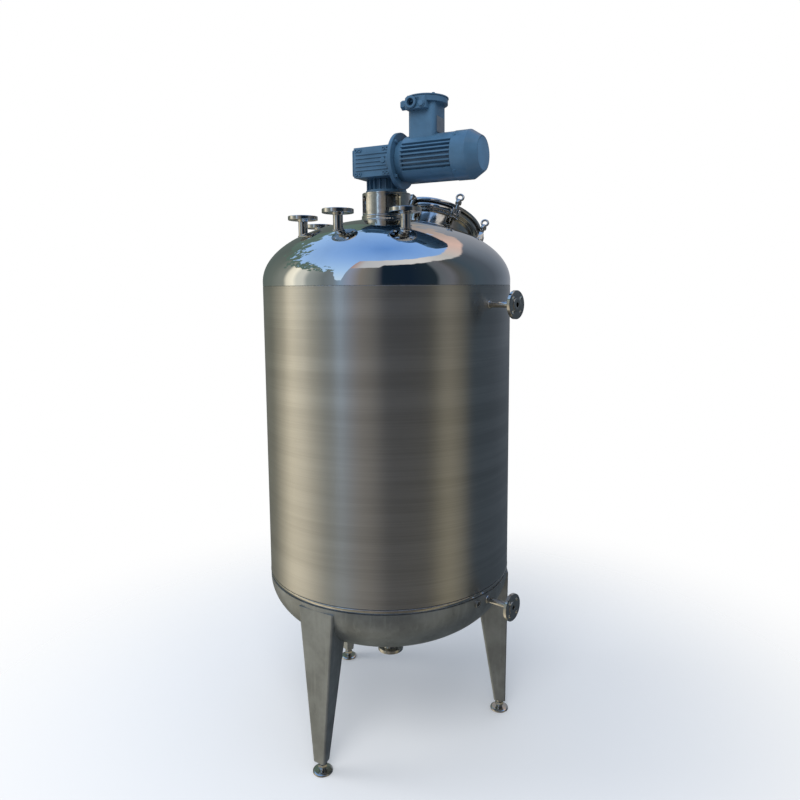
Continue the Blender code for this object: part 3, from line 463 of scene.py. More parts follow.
def make_brushed_steel(colours):
    """Fine level brushing round the shell, with long faint bands where passes of the belt overlap."""
    s = new_finish("brushed_shell")
    line = s.noise(1.0, 3.0, 0.6, stretch=(2.0, 2.0, 900.0))
    band = s.noise(1.0, 3.0, 0.5, stretch=(1.2, 1.2, 22.0))
    cloud = s.noise(2.2, 4.0)
    light = band * 0.55 + line * 0.45
    tint = s.mix(light.smooth(0.36, 0.64), shade(colours.shell, 0.86), shade(colours.shell, 1.10))
    tint = s.mix(cloud.smooth(0.3, 0.75) * 0.25, tint, shade(colours.shell, 0.80))
    rough = 0.24 + line * 0.10 + band * 0.06
    s.finish(
        Base_Color=tint, Metallic=1.0, Roughness=rough, Anisotropic=0.92, Anisotropic_Rotation=0.25, Normal=s.bump(line, 0.10, 0.0004)
    )


def make_mirror_steel(colours):
    """Polished sheet: a slow waviness, faint wiping marks and a little haze."""
    s = new_finish("mirror_dome")
    wave = s.noise(2.6, 2.0, 0.4)
    haze = s.noise(9.0, 6.0, 0.6)
    wipe = s.noise(30.0, 3.0, 0.6, stretch=(1, 4, 1), turn=(0, 0, 0.6))
    tint = s.mix(haze.smooth(0.35, 0.8), colours.polish, shade(colours.polish, 0.90))
    rough = 0.022 + haze.smooth(0.4, 0.8) * 0.035 + wipe.smooth(0.55, 0.8) * 0.02
    s.finish(Base_Color=tint, Metallic=1.0, Roughness=rough, Normal=s.bump(wave, 0.30, 0.006))


def make_polished_steel(colours, name="polished_steel", wear=1.0):
    """Turned and polished fittings: small ripples, fingermarks and soft dark specks."""
    s = new_finish(name)
    ripple = s.noise(38.0, 3.0, 0.5)
    haze = s.noise(60.0, 5.0, 0.65)
    speck = s.noise(240.0, 3.0, 0.6)
    tint = s.mix(haze.smooth(0.35, 0.75), colours.fittings, shade(colours.fittings, 0.78))
    tint = s.mix(speck.smooth(0.66, 0.74) * 0.35, tint, (0.13, 0.12, 0.11))
    rough = 0.09 * wear + haze.smooth(0.4, 0.8) * 0.14
    s.finish(Base_Color=tint, Metallic=1.0, Roughness=rough, Normal=s.bump(ripple, 0.25, 0.0012))


def make_matte_steel(colours, name="matte_steel", tone=1.0):
    """Pickled sheet: cloudy, with a fine grain, streaks and small scuffs."""
    s = new_finish(name)
    cloud = s.noise(7.0, 7.0, 0.62)
    grain = s.noise(420.0, 2.0, 0.6)
    streak = s.noise(1.0, 4.0, 0.6, stretch=(60, 60, 4))
    scuff = s.noise(34.0, 5.0, 0.7, stretch=(1, 1, 0.35))
    base = shade(colours.matte, tone)
    tint = s.mix(cloud.smooth(0.32, 0.68), shade(base, 0.78), shade(base, 1.18))
    tint = s.mix(streak.smooth(0.52, 0.72) * 0.30, tint, shade(base, 1.5))
    tint = s.mix(scuff.smooth(0.60, 0.72) * 0.45, tint, shade(base, 0.55))
    rough = 0.40 + cloud * 0.14 + grain * 0.08
    height = grain * 0.4 + scuff * 0.6
    s.finish(Base_Color=tint, Metallic=0.92, Roughness=rough, Normal=s.bump(height, 0.20, 0.0006))


def make_paint(colours, name="blue_paint", tone=1.0, rough_from=0.34):
    """Sprayed enamel over cast iron: orange peel, dust in the hollows and rubbed places."""
    s = new_finish(name)
    peel = s.noise(210.0, 3.0, 0.5)
    cloud = s.noise(11.0, 5.0, 0.6)
    dust = s.noise(60.0, 6.0, 0.7)
    base = shade(colours.paint, tone)
    tint = s.mix(cloud.smooth(0.3, 0.7), shade(base, 0.84), shade(base, 1.12))
    tint = s.mix(dust.smooth(0.60, 0.78) * 0.30, tint, (0.16, 0.22, 0.28))
    tint = s.mix(dust.smooth(0.72, 0.76) * 0.25, tint, shade(base, 0.45))
    rough = rough_from + cloud * 0.12 + dust.smooth(0.55, 0.8) * 0.2
    s.finish(Base_Color=tint, Metallic=0.0, Roughness=rough, Coat_Weight=0.15, Normal=s.bump(peel + cloud * 0.6, 0.22, 0.0007))


def make_rubber(colours):
    s = new_finish("gasket_rubber")
    grain = s.noise(300.0, 4.0, 0.6)
    tint = s.mix(grain, (0.012, 0.012, 0.012), (0.045, 0.044, 0.042))
    s.finish(Base_Color=tint, Metallic=0.0, Roughness=0.62 + grain * 0.2, Normal=s.bump(grain, 0.3, 0.0005))


def make_bare_plate(colours):
    """Rolled aluminium plate with fine scratches one way."""
    s = new_finish("bare_aluminium")
    line = s.noise(1.0, 4.0, 0.6, stretch=(30, 40, 1400))
    cloud = s.noise(40.0, 5.0, 0.6)
    tint = s.mix(line.smooth(0.3, 0.7), shade(colours.plate, 0.82), shade(colours.plate, 1.1))
    tint = s.mix(cloud.smooth(0.55, 0.75) * 0.4, tint, shade(colours.plate, 0.6))
    s.finish(Base_Color=tint, Metallic=0.9, Roughness=0.30 + line * 0.15, Normal=s.bump(line, 0.12, 0.0003))


def make_finishes(colours):
    make_brushed_steel(colours)
    make_mirror_steel(colours)
    make_polished_steel(colours)
    make_polished_steel(colours, "polished_bolts", 1.5)
    make_matte_steel(colours)
    make_matte_steel(colours, "machined_steel", 1.5)
    make_paint(colours)
    # The grille's copy of the enamel is rougher, and 1.5 times lighter than the body's: painted highlight of its lit
    # wires.
    make_paint(colours, "lit_grille_paint", 1.5, 0.45)
    make_rubber(colours)
    make_bare_plate(colours)


# Vessel


def ellipse(radius, rise, start, end, steps):
    """(radius cos t, rise sin t) from one angle to the other."""
    t = np.radians(np.linspace(start, end, steps))
    return np.stack([radius * np.cos(t), rise * np.sin(t)], axis=-1)


def dish_profile(hole, lip, rise):
    """The closed outline of a dished end: an outer and an inner quarter ellipse with the skin between."""
    inner = TANK_RADIUS - HEAD_SKIN
    top = math.degrees(math.acos(hole / TANK_RADIUS))
    inner_top = math.degrees(math.acos(hole / inner))
    outside = ellipse(TANK_RADIUS, rise, 0, top, 72) + [0, lip]
    inside = ellipse(inner, rise - HEAD_SKIN, inner_top, 0, 24) + [0, lip]
    return np.concatenate([[[inner, 0.0], [TANK_RADIUS, 0.0]], outside, inside])


def head_height(radius, rise):
    return TOP_LIP + rise * math.sqrt(1 - (radius / TANK_RADIUS) ** 2)


def pipe_holes(names, radius):
    """Round bars that stand where the named nozzles pass through the head."""
    bars = []
    for name in names:
        middle = centre_of(name)
        bar = solid_of_turn([(0, 1.7), (radius, 1.7), (radius, 2.1), (0, 2.1)], 48)
        bars.append(placed(bar, shift(middle.x, middle.y, 0)))
    return gather(*bars)


def make_shell():
    low, high = SHELL_LOW.z, SHELL_HIGH.z
    inner = TANK_RADIUS - 0.05
    rows = np.linspace(low + 0.003, high - 0.0015, 24)
    outside = [(TANK_RADIUS, z) for z in rows]
    profile = [(inner, low), (TANK_RADIUS - 0.003, low), *outside, (TANK_RADIUS - 0.0012, high), (inner, high)]
    make_piece("vessel_shell", turned(profile, SMOOTH_SIDES), "brushed_shell", "tank", ["shell"])


def make_dome():
    profile = dish_profile(0.048, TOP_LIP, TOP_RISE) + [0, SEAM]
    dome = make_piece("top_dome", turned(profile, SMOOTH_SIDES), "mirror_dome", "tank", ["top_head"])
    names = [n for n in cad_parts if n.startswith("top_nozzle")]
    cut_with(dome, pipe_holes(names, 0.0165))
    neck = solid_of_turn([(0, -0.09), (0.1425, -0.09), (0.1425, 0.03), (0, 0.03)], 96)
    cut_with(dome, placed(neck, manway_place()))


def make_bottom_dish():
    low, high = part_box("bottom_head")
    profile = dish_profile(0.0303, BOTTOM_LIP, BOTTOM_DROP) * [1, -1] + [0, high.z]
    make_piece("bottom_dish", turned(profile, SMOOTH_SIDES), "matte_steel", "tank", ["bottom_head"])
    band_low, band_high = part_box("lower_seam_band")
    r = TANK_RADIUS
    outline = [(r - 0.05, band_low.z), (r - 0.004, band_low.z), (r + 0.0008, band_high.z - 0.004), (r + 0.0008, band_high.z), (r - 0.05, band_high.z)]
    make_piece(
        "seam_band", ring_of_turn(outline, SMOOTH_SIDES, 0.002), "polished_steel", "tank", ["lower_seam_band"]
    )


def make_outlet():
    low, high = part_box("bottom_outlet")
    pipe, flange = 0.030, (high.x - low.x) / 2
    end = low.z
    profile = [
        (pipe - 0.004, high.z), (pipe - 0.004, end), (pipe, end), (pipe, end + 0.010), (flange, end + 0.010),
        (flange, end + 0.024), (pipe, end + 0.024), (pipe, high.z),
    ]
    parts = [ring_of_turn(profile, ROUND_SIDES, 0.0015), bead(pipe + 0.001, high.z - 0.012, 0.003)]
    make_piece("bottom_outlet_pipe", gather(*parts), "polished_steel", "tank", ["bottom_outlet"])


# Nozzles


def flanged_pipe(pipe, bore, flange, thick, circle_radius, hole, start, face):
    """A pipe, its drilled flange with a raised face, and the welds between."""
    tube = [(bore, start), (pipe, start), (pipe, face - 0.001), (bore, face - 0.001)]
    plate = drilled_plate(pipe, flange, circle_radius, hole, 4, face - thick, face - 0.002, 0.0012, TAU / 8)
    raised = [(bore, face - 0.003), (circle_radius - hole - 0.002, face - 0.003), (circle_radius - hole - 0.002, face), (bore, face)]
    hub = [(pipe - 0.001, face - thick - 0.006), (pipe + 0.0005, face - thick - 0.006), (pipe + 0.005, face - thick + 0.0005), (pipe - 0.001, face - thick + 0.0005)]
    return [ring_of_turn(tube, 48), plate, ring_of_turn(raised, 64, 0.0005), ring_of_turn(hub, 48, 0.0005)]


def make_top_nozzles():
    for node in sorted(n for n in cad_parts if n.startswith("top_nozzle")):
        low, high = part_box(node)
        middle = (low + high) / 2 - AXIS
        angle = math.degrees(math.atan2(middle.y, middle.x))
        reach = math.hypot(middle.x, middle.y)
        on_head = SEAM + head_height(reach, TOP_RISE)
        parts = flanged_pipe(0.01685, 0.0143, 0.054, 0.016, 0.0397, 0.0079, low.z, high.z)
        parts.append(placed(bead(0.0178, 0.0, 0.0026, 24), shift(0, 0, on_head) @ turn(18.5, "Y")))
        place = turn(angle) @ shift(reach, 0, 0)
        name = node.replace("top_nozzle", "nozzle")
        make_piece(name, placed(gather(*parts), place), "polished_steel", "tank", [node])


def side_place(height, angle):
    return shift(0, 0, height) @ turn(angle) @ turn(90, "Y")


def make_side_nozzles():
    for node in ("jacket_nozzle_upper", "jacket_nozzle_lower"):
        middle = centre_of(node)
        angle = math.degrees(math.atan2(middle.y, middle.x))
        parts = flanged_pipe(0.01065, 0.0081, 0.0475, 0.014, 0.0325, 0.007, TANK_RADIUS - 0.02, 0.565)
        parts.append(bead(0.0118, TANK_RADIUS + 0.0005, 0.0026, 20))
        place = side_place(middle.z, angle)
        make_piece(node.replace("nozzle", "branch"), placed(gather(*parts), place), "polished_steel", "tank", [node])
    middle = centre_of("drain_socket")
    angle = math.degrees(math.atan2(middle.y, middle.x))
    profile = [(0.0075, 0.436), (0.0125, 0.436), (0.0125, 0.468), (0.0075, 0.468)]
    parts = [ring_of_turn(profile, 40, 0.0008), bead(0.0128, TANK_RADIUS - 0.004, 0.002, 20)]
    place = side_place(middle.z, angle)
    make_piece("drain_branch", placed(gather(*parts), place), "polished_steel", "tank", ["drain_socket"])


# Legs


def make_legs():
    give_finish("matte_steel", "leg_front", "leg_right", "leg_left")
    for side in ("front", "right", "left"):
        middle = centre_of(f"foot_{side}")
        low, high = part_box(f"foot_{side}")
        plate = solid_of_turn([(0, 0), (0.035, 0), (0.035, 0.006), (0.030, 0.008), (0, 0.008)], 48, 0.001)
        stem = solid_of_turn([(0, 0.007), (0.012, 0.009), (0.012, high.z), (0, high.z)], 32, 0.0005)
        nut = prism(hexagon(0.030), 0.018, 0.030, 0.001)
        place = shift(middle.x, middle.y, 0)
        make_piece(f"levelling_foot_{side}", placed(gather(plate, stem, nut), place), "polished_steel", "tank", [f"foot_{side}"])


# Manway


MANWAY = {"angle": 79, "circle": 0.300, "tilt": 28, "neck": 0.148, "rise": 0.067, "rim": 0.168, "lid": 0.176, "bolts": 0.184}
BOLT_ANGLES = (-4, 56, 116, 236, 296)
EYE_TURNS = (0, 0, 0, 60, 0)
HINGE = 176


def manway_place():
    """From the manway's own axis, +Z, to its place on the head, with +X outwards."""
    level = SEAM + head_height(MANWAY["circle"], TOP_RISE)
    return turn(MANWAY["angle"]) @ shift(MANWAY["circle"], 0, level) @ turn(MANWAY["tilt"], "Y")


def make_manway():
    top = MANWAY["rise"]
    bottom = top - 0.016
    neck, rim = MANWAY["neck"], MANWAY["rim"]
    tube = [(neck - 0.006, -0.085), (neck, -0.085), (neck, bottom + 0.001), (neck - 0.006, bottom + 0.001)]
    flange = [(neck - 0.006, bottom), (rim, bottom), (rim, top), (neck - 0.006, top)]
    pin_height = bottom - 0.018
    ears = gather(*[placed(ear_pair(pin_height), turn(angle)) for angle in (*BOLT_ANGLES, HINGE)])
    parts = [ring_of_turn(tube, 144, 0.001), ring_of_turn(flange, 144, 0.003), ears]
    parts.append(bead(neck + 0.0012, bottom - 0.001, 0.0028, 90))
    place = manway_place()
    make_piece("manway_ring", placed(gather(*parts), place), "polished_steel", "tank", ["manway_neck"])
    inner, outer, low, high = neck - 0.006, rim - 0.002, top + GAP, top + GAP + 0.004
    gasket = [(inner, low), (outer, low), (outer + 0.0012, (low + high) / 2), (outer, high), (inner, high)]
    make_piece("manway_seal", placed(ring_of_turn(gasket, 144, 0.001), place), "gasket_rubber", "tank", ["manway_gasket"])
    make_lid(high + GAP, pin_height, place)
    for number in range(len(BOLT_ANGLES)):
        make_swing_bolt(number, pin_height, high + GAP + 0.014, place)


def ear_pair(pin_height):
    """Two rounded ears beside a bolt's place and the headed pin between them."""
    ear = rounded_rectangle(0.042, 0.033, 0.009)
    parts = []
    for side in (-1, 1):
        plate = prism(ear, -0.005, 0.005, 0.0012)
        parts.append(placed(plate, shift(0.1785, side * 0.0125, pin_height + 0.009) @ turn(90, "X") @ turn(90)))
    head, pin = 0.0065, 0.004
    profile = [(0, -0.0195), (head, -0.0195), (head, -0.0176), (pin, -0.0176), (pin, 0.0176), (head, 0.0176), (head, 0.0195), (0, 0.0195)]
    rod = solid_of_turn(profile, 20, 0.0004)
    parts.append(placed(rod, shift(MANWAY["bolts"], 0, pin_height) @ turn(90, "X")))
    return gather(*parts)


def make_lid(bottom, pin_height, place):
    """A flat rim, an elliptic crown, five notches for the bolts and the hinge's strap."""
    flat = MANWAY["rim"] - 0.022
    top = bottom + 0.014
    crown = ellipse(flat, 0.014, 0, 90, 18) + [0, top]
    rim = eased([(0, bottom), (MANWAY["lid"], bottom), (MANWAY["lid"], top), (flat + 0.004, top)], 0.003, 4, closed=False)
    lid = turned(np.concatenate([rim, crown]), 180, closed=False)
    made = make_piece("manway_cover", placed(lid, place), "polished_steel", "tank", ["manway_lid"])
    notch = box_solid((0.1725, -0.0075, bottom - 0.01), (0.21, 0.0075, top + 0.01), 0.0005, 0.003)
    cut_with(made, gather(*[placed(notch, place @ turn(angle)) for angle in BOLT_ANGLES]))
    strap = box_solid((0.131, -0.0072, bottom + 0.006), (0.193, 0.0072, top + 0.003), 0.002, 0.0025)
    tail = box_solid((0.1705, -0.0072, pin_height + 0.0045), (0.193, 0.0072, top), 0.0012, 0.0025)
    knuckle = ring_of_turn([(0.0046, -0.0072), (0.0085, -0.0072), (0.0085, 0.0072), (0.0046, 0.0072)], 32, 0.0006)
    knuckle = placed(knuckle, shift(MANWAY["bolts"], 0, pin_height) @ turn(90, "X"))
    hinge = placed(gather(strap, tail, knuckle), place @ turn(HINGE))
    make_piece("lid_strap", hinge, "polished_steel", "tank", [])


def make_swing_bolt(number, pin_height, seat, place):
    """A rod on its knuckle, with an eye nut that presses on the lid."""
    nut = seat + GAP - pin_height
    rod = [(0, 0.0065), (0.006, 0.0065), (0.006, nut), (0.0123, nut), (0.0123, nut + 0.010), (0.0075, nut + 0.014), (0.0062, nut + 0.020), (0, nut + 0.020)]
    barrel = ring_of_turn([(0.0046, -0.0072), (0.0088, -0.0072), (0.0088, 0.0072), (0.0046, 0.0072)], 32, 0.0006)
    eye = shift(0, 0, nut + 0.029) @ turn(EYE_TURNS[number]) @ turn(90, "X")
    parts = [solid_of_turn(rod, 32, 0.0008), placed(torus(0.013, 0.0044), eye), placed(barrel, turn(90, "X"))]
    spot = place @ turn(BOLT_ANGLES[number]) @ shift(MANWAY["bolts"], 0, pin_height)
    name = f"eye_bolt_{number + 1}"
    make_piece(name, placed(gather(*parts), spot), "polished_bolts", f"bolt_{number + 1}", [f"swing_bolt_{number + 1}"])


# Lantern and drive


def windowed_wall(radius, wall, low, high, width, window_low, window_high, count=4, per=19):
    """A tube in equal sectors; each is a web from a rounded window, |u/a|^6 + |v/b|^6 = 1, out to the sector's edges, rolled round the axis."""
    half = math.pi / count
    u = np.linspace(-half, half, per)
    v = np.linspace(low, high, 9)
    flat = np.concatenate(
        [
            np.stack([u, np.full(per, low)], -1),
            np.stack([np.full(7, half), v[1:-1]], -1),
            np.stack([u[::-1], np.full(per, high)], -1),
            np.stack([np.full(7, -half), v[-2:0:-1]], -1),
        ]
    ) * [radius, 1]
    a, b = width / 2, (window_high - window_low) / 2
    middle = np.array([0, (window_low + window_high) / 2])
    sheet = web(flat, middle, lambda way: (np.abs(way[:, 0] / a) ** 6 + np.abs(way[:, 1] / b) ** 6) ** (-1 / 6))
    rolled = []
    for r in (radius, radius - wall):
        angle = sheet[..., 0] / radius
        rolled.append(np.stack([r * np.cos(angle), r * np.sin(angle), sheet[..., 1]], -1))
    faces = [grid(points, wrap_columns=True) for points in rolled]
    reveal = grid(np.stack([rolled[0][0], rolled[1][0]]), wrap_columns=True)
    return around(gather(*faces, reveal), count)


def make_lantern():
    radius = 0.093
    dome = SEAM + head_height(radius, TOP_RISE)
    pad_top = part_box("drive_ring")[1].z
    ring = [(0.0485, dome - 0.004), (radius, dome - 0.004), (radius, pad_top), (0.0485, pad_top)]
    parts = [ring_of_turn(ring, 96, 0.0008), bead(radius + 0.0006, dome + 0.0005, 0.003, 60)]
    make_piece("drive_pad", gather(*parts), "polished_steel", "tank", ["drive_ring"])
    bottom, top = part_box("lantern")[0].z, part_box("lantern")[1].z
    plate = top - 0.006
    wall = windowed_wall(0.090, 0.009, bottom + 0.0075, plate, 0.058, bottom + 0.012, plate - 0.004)
    foot = [(0.068, bottom), (radius, bottom), (radius, bottom + 0.005), (0.090, bottom + 0.008), (0.068, bottom + 0.008)]
    head = [(0.040, plate), (0.090, plate), (0.090, top), (0.040, top)]
    rings = [ring_of_turn(foot, 96, 0.0008), ring_of_turn(head, 96, 0.001)]
    make_piece("drive_lantern", placed(gather(wall, *rings), turn(45)), "polished_steel", "tank", ["lantern"])
    seal = [
        (0.018, bottom - 0.012), (0.0475, bottom - 0.012), (0.0475, bottom), (0.060, bottom), (0.060, bottom + 0.010),
        (0.044, bottom + 0.012), (0.044, bottom + 0.024), (0.018, bottom + 0.024),
    ]
    make_piece("shaft_seal", ring_of_turn(seal, 64, 0.0008), "machined_steel", "tank", ["seal_housing"])
    give_finish("machined_steel", "agitator_shaft", "impeller")


def make_gearbox():
    low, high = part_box("gearbox_output_flange")
    bottom, top = low.z, high.z
    flange_top = bottom + 0.011
    neck = [
        (0.024, bottom), (0.0757, bottom), (0.0757, flange_top - 0.001), (0.062, flange_top),
        (0.062, top), (0.024, top),
    ]
    rib = box_solid((0.058, -0.002, flange_top - 0.001), (0.0735, 0.002, top), 0.0008, 0.001)
    parts = [ring_of_turn(neck, 96, 0.0008), around(rib, 20, TAU / 40)]
    make_piece("gearbox_neck", gather(*parts), "blue_paint", "tank", ["gearbox_output_flange"])
    make_gear_case()
    cover = solid_of_turn([(0, 0), (0.0497, 0), (0.0497, 0.006), (0.044, 0.009), (0, 0.009)], 72, 0.001)
    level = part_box("gearbox_cover")[0].z
    bolts = around(placed(hex_bolt(0.007, 0.0030, 0.0008), shift(0.0405, 0, 0.0086)), 6, 0.3)
    make_piece("gearbox_lid", placed(gather(cover, bolts), shift(0, 0, level)), "blue_paint", "tank", ["gearbox_cover"])
    low, high = (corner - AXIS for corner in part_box("worm_end_cover"))
    outline = rounded_rectangle(high.z - low.z, high.y - low.y, 0.006)
    plate = prism(outline, 0, high.x - low.x, 0.0012)
    middle = (low + high) / 2
    place = shift(high.x, middle.y, middle.z) @ turn(-90, "Y")
    screw = socket_screw(0.0042, 0.0030)
    corners = [placed(screw, shift(x, y, high.x - low.x - 0.0032)) for x in (-0.036, 0.036) for y in (-0.034, 0.034)]
    make_piece("worm_cap", placed(gather(plate, *corners), place), "blue_paint", "tank", ["worm_end_cover"])


CASE = {"left": -0.070, "right": 0.086, "front": -0.122, "back": 0.088, "bottom": 2.085, "top": 2.190}


def make_gear_case():
    """The worm's housing: a block with level ribs, paired corner bosses and a plug in front, and a nose to the motor."""
    inset = 0.004
    low = (CASE["left"], CASE["front"] + inset, CASE["bottom"])
    high = (CASE["right"], CASE["back"], CASE["top"])
    parts = [box_solid(low, high, 0.002, 0.005)]
    front = CASE["front"] + inset + 0.002
    for level in np.linspace(CASE["bottom"] + 0.025, CASE["top"] - 0.025, 5):
        rib_low = (CASE["left"] + 0.010, CASE["front"] + 0.0002, level - 0.0022)
        rib_high = (CASE["right"] - 0.014, front, level + 0.0022)
        parts.append(box_solid(rib_low, rib_high, 0.0012, 0.0008))
    boss = ring_of_turn([(0.0030, 0), (0.0068, 0), (0.0068, 0.0058), (0.0030, 0.0058)], 28, 0.0010)
    left, right = CASE["left"] + 0.012, CASE["right"] - 0.016
    for x in (left, left + 0.015, right - 0.015, right):
        for z in (CASE["bottom"] + 0.011, CASE["top"] - 0.011):
            parts.append(placed(boss, shift(x, front, z) @ turn(90, "X")))
    plug = solid_of_turn([(0, 0), (0.010, 0), (0.010, 0.0059), (0, 0.0059)], 40, 0.0008)
    parts.append(placed(plug, shift(0.052, front, 2.139) @ turn(90, "X")))
    start, face = CASE["right"] - 0.02, 0.0977
    nose = solid_of_turn([(0, start), (0.048, start), (0.048, face), (0, face)], 72, 0.001)
    parts.append(placed(nose, motor_place()))
    make_piece("gear_case", gather(*parts), "blue_paint", "tank", ["gearbox_housing"])


def motor_place():
    middle = centre_of("fan_cover")
    return shift(0, middle.y, middle.z) @ turn(90, "Y")


def motor_section():
    """A circle with seven square grooves along each upright side."""
    angle = np.arange(0, 360, 0.5)
    reach = 10.5 * 3
    away = np.abs((angle % 180) - 90)
    phase = np.abs((away + 5.25) % 10.5 - 5.25)
    groove = (phase < 3.3) & (away < reach + 3.4)
    radius = np.where(groove, 0.069, 0.0803)
    turnings = np.radians(angle)
    return np.stack([radius * np.cos(turnings), radius * np.sin(turnings)], axis=-1)


def make_motor():
    place = motor_place()
    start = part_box("motor_flange")[0].x - AXIS.x
    face = start + 0.014
    plate = drilled_plate(0.02, 0.0968, 0.0825, 0.0055, 4, start, face, 0.0015, TAU / 8)
    bolts = around(placed(hex_bolt(0.011, 0.0055, 0.0012), shift(0.0825, 0, face)), 4, TAU / 8)
    adapter = placed(gather(plate, bolts), place)
    make_piece("motor_adapter", adapter, "blue_paint", "tank", ["motor_flange"])
    body_start = face + GAP
    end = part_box("motor_body")[1].x - AXIS.x
    bell_end = body_start + 0.030
    bell = [(0, body_start), (0.070, body_start), (0.074, body_start + 0.022), (0.074, bell_end), (0, bell_end)]
    parts = [solid_of_turn(bell, 96, 0.002), prism(motor_section(), bell_end - 0.004, end, 0.0012)]
    make_piece("motor_frame", placed(gather(*parts), place), "blue_paint", "tank", ["motor_body"])
    low = end + GAP
    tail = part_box("fan_cover")[1].x - AXIS.x
    cover = [(0, low), (0.0818, low), (0.0818, tail - 0.038), (0.058, tail), (0.055, tail), (0.055, tail - 0.003), (0, tail - 0.003)]
    screw = placed(socket_screw(0.0042, 0.0030), shift(0.0812, 0, low + 0.010) @ turn(90, "Y"))
    shroud = gather(solid_of_turn(cover, 128, 0.0015), around(screw, 4, TAU / 8))
    make_piece("fan_shroud", placed(shroud, place), "blue_paint", "tank", ["fan_cover"])
    # The solid grille disc wears the lighter copy of the enamel, a painted highlight for its lit wires.
    grille = solid_of_turn([(0, tail - 0.0027), (0.0545, tail - 0.0027), (0.0545, tail), (0, tail)], 96, 0.0003)
    make_piece("fan_grid", placed(grille, place), "lit_grille_paint", "tank", ["fan_grille"])


BOX = {"half_width": 0.050, "half_depth": 0.0475, "head": 0.0727, "head_low": 2.313, "cover": 0.0752}
ENTRY = {"left": -0.048, "right": 0.030, "low": 2.289, "face": 0.0735}


def make_terminal_box():
    """A neck, a round head with a thin bolted cover, and a block in front that holds the cable entries."""
    low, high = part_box("terminal_box")
    top = high.z
    middle = centre_of("terminal_cover")
    place = shift(middle.x, middle.y, 0)
    wide, deep = BOX["half_width"], BOX["half_depth"]
    neck = box_solid((-wide, -deep, low.z), (wide, deep, top - 0.002), 0.0015, 0.012)
    rim = BOX["head"]
    head = solid_of_turn([(0, BOX["head_low"]), (rim, BOX["head_low"]), (rim, top), (0, top)], 96, 0.0015)
    spare = [(0, 0), (0.0150, 0), (0.0150, 0.060), (0, 0.060)]
    spare = gather(solid_of_turn(spare, 40, 0.001), prism(circle(0.0168, 6), 0.059, 0.0738, 0.001))
    spare = placed(spare, shift(0, -0.042, 2.312) @ turn(-90, "Y"))
    parts = placed(gather(neck, head, spare), place)
    make_piece("terminal_neck", parts, "blue_paint", "tank", ["terminal_box"])
    make_cable_entries(place, top)
    c_low, c_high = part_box("terminal_cover")
    b, t, edge = c_low.z, c_high.z - 0.0035, BOX["cover"]
    cover = [(0, b), (edge, b), (edge, t - 0.001), (edge - 0.003, t), (0, t)]
    bolt = placed(hex_bolt(0.0095, 0.0026, 0.0007), shift(0.066, 0, t))
    parts = [solid_of_turn(cover, 128, 0.0006), around(bolt, 4, TAU / 8)]
    make_piece("terminal_lid", placed(gather(*parts), place), "blue_paint", "tank", ["terminal_cover"])
    give_finish("bare_aluminium", "bare_plate")


def make_cable_entries(place, top):
    """The block in front of the terminal box, with the open gland ring and the plugged entry."""
    low = (ENTRY["left"], 0.0002 - ENTRY["face"], ENTRY["low"])
    high = (ENTRY["right"], 0.0, top - 0.003)
    block = placed(box_solid(low, high, 0.002, 0.006), place)
    made = make_piece("cable_entries", block, "blue_paint", "tank", [])
    face = place @ shift(-0.023, -ENTRY["face"], 2.310) @ turn(90, "X")
    bore = 0.0125
    well = solid_of_turn([(0, -0.024), (bore - 0.0005, -0.024), (bore - 0.0005, 0.02), (0, 0.02)], 48)
    cut_with(made, placed(well, face))
    gland = [(bore, 0.0003), (0.0203, 0.0003), (0.0203, 0.0078), (0.0185, 0.0098), (bore, 0.0098)]
    gland = ring_of_turn(gland, 64, 0.0006)
    make_piece("gland_ring", placed(gland, face), "blue_paint", "tank", ["cable_gland"])
    plug = gather(
        solid_of_turn([(0, 0.0003), (0.0113, 0.0003), (0.0113, 0.0045), (0, 0.0045)], 40, 0.0006),
        prism(circle(0.0095, 6), 0.004, 0.0098, 0.0010),
    )
    seat = place @ shift(0.0165, -ENTRY["face"], 2.302) @ turn(90, "X")
    make_piece("hexagon_plug", placed(plug, seat), "blue_paint", "tank", ["blanking_plug"])


# Stage


def compass_stops(pairs):
    """Stops by angle: degrees to the right of the line from the tank to the camera."""
    return [((angle + 180) / 360, shade) for angle, shade in pairs]


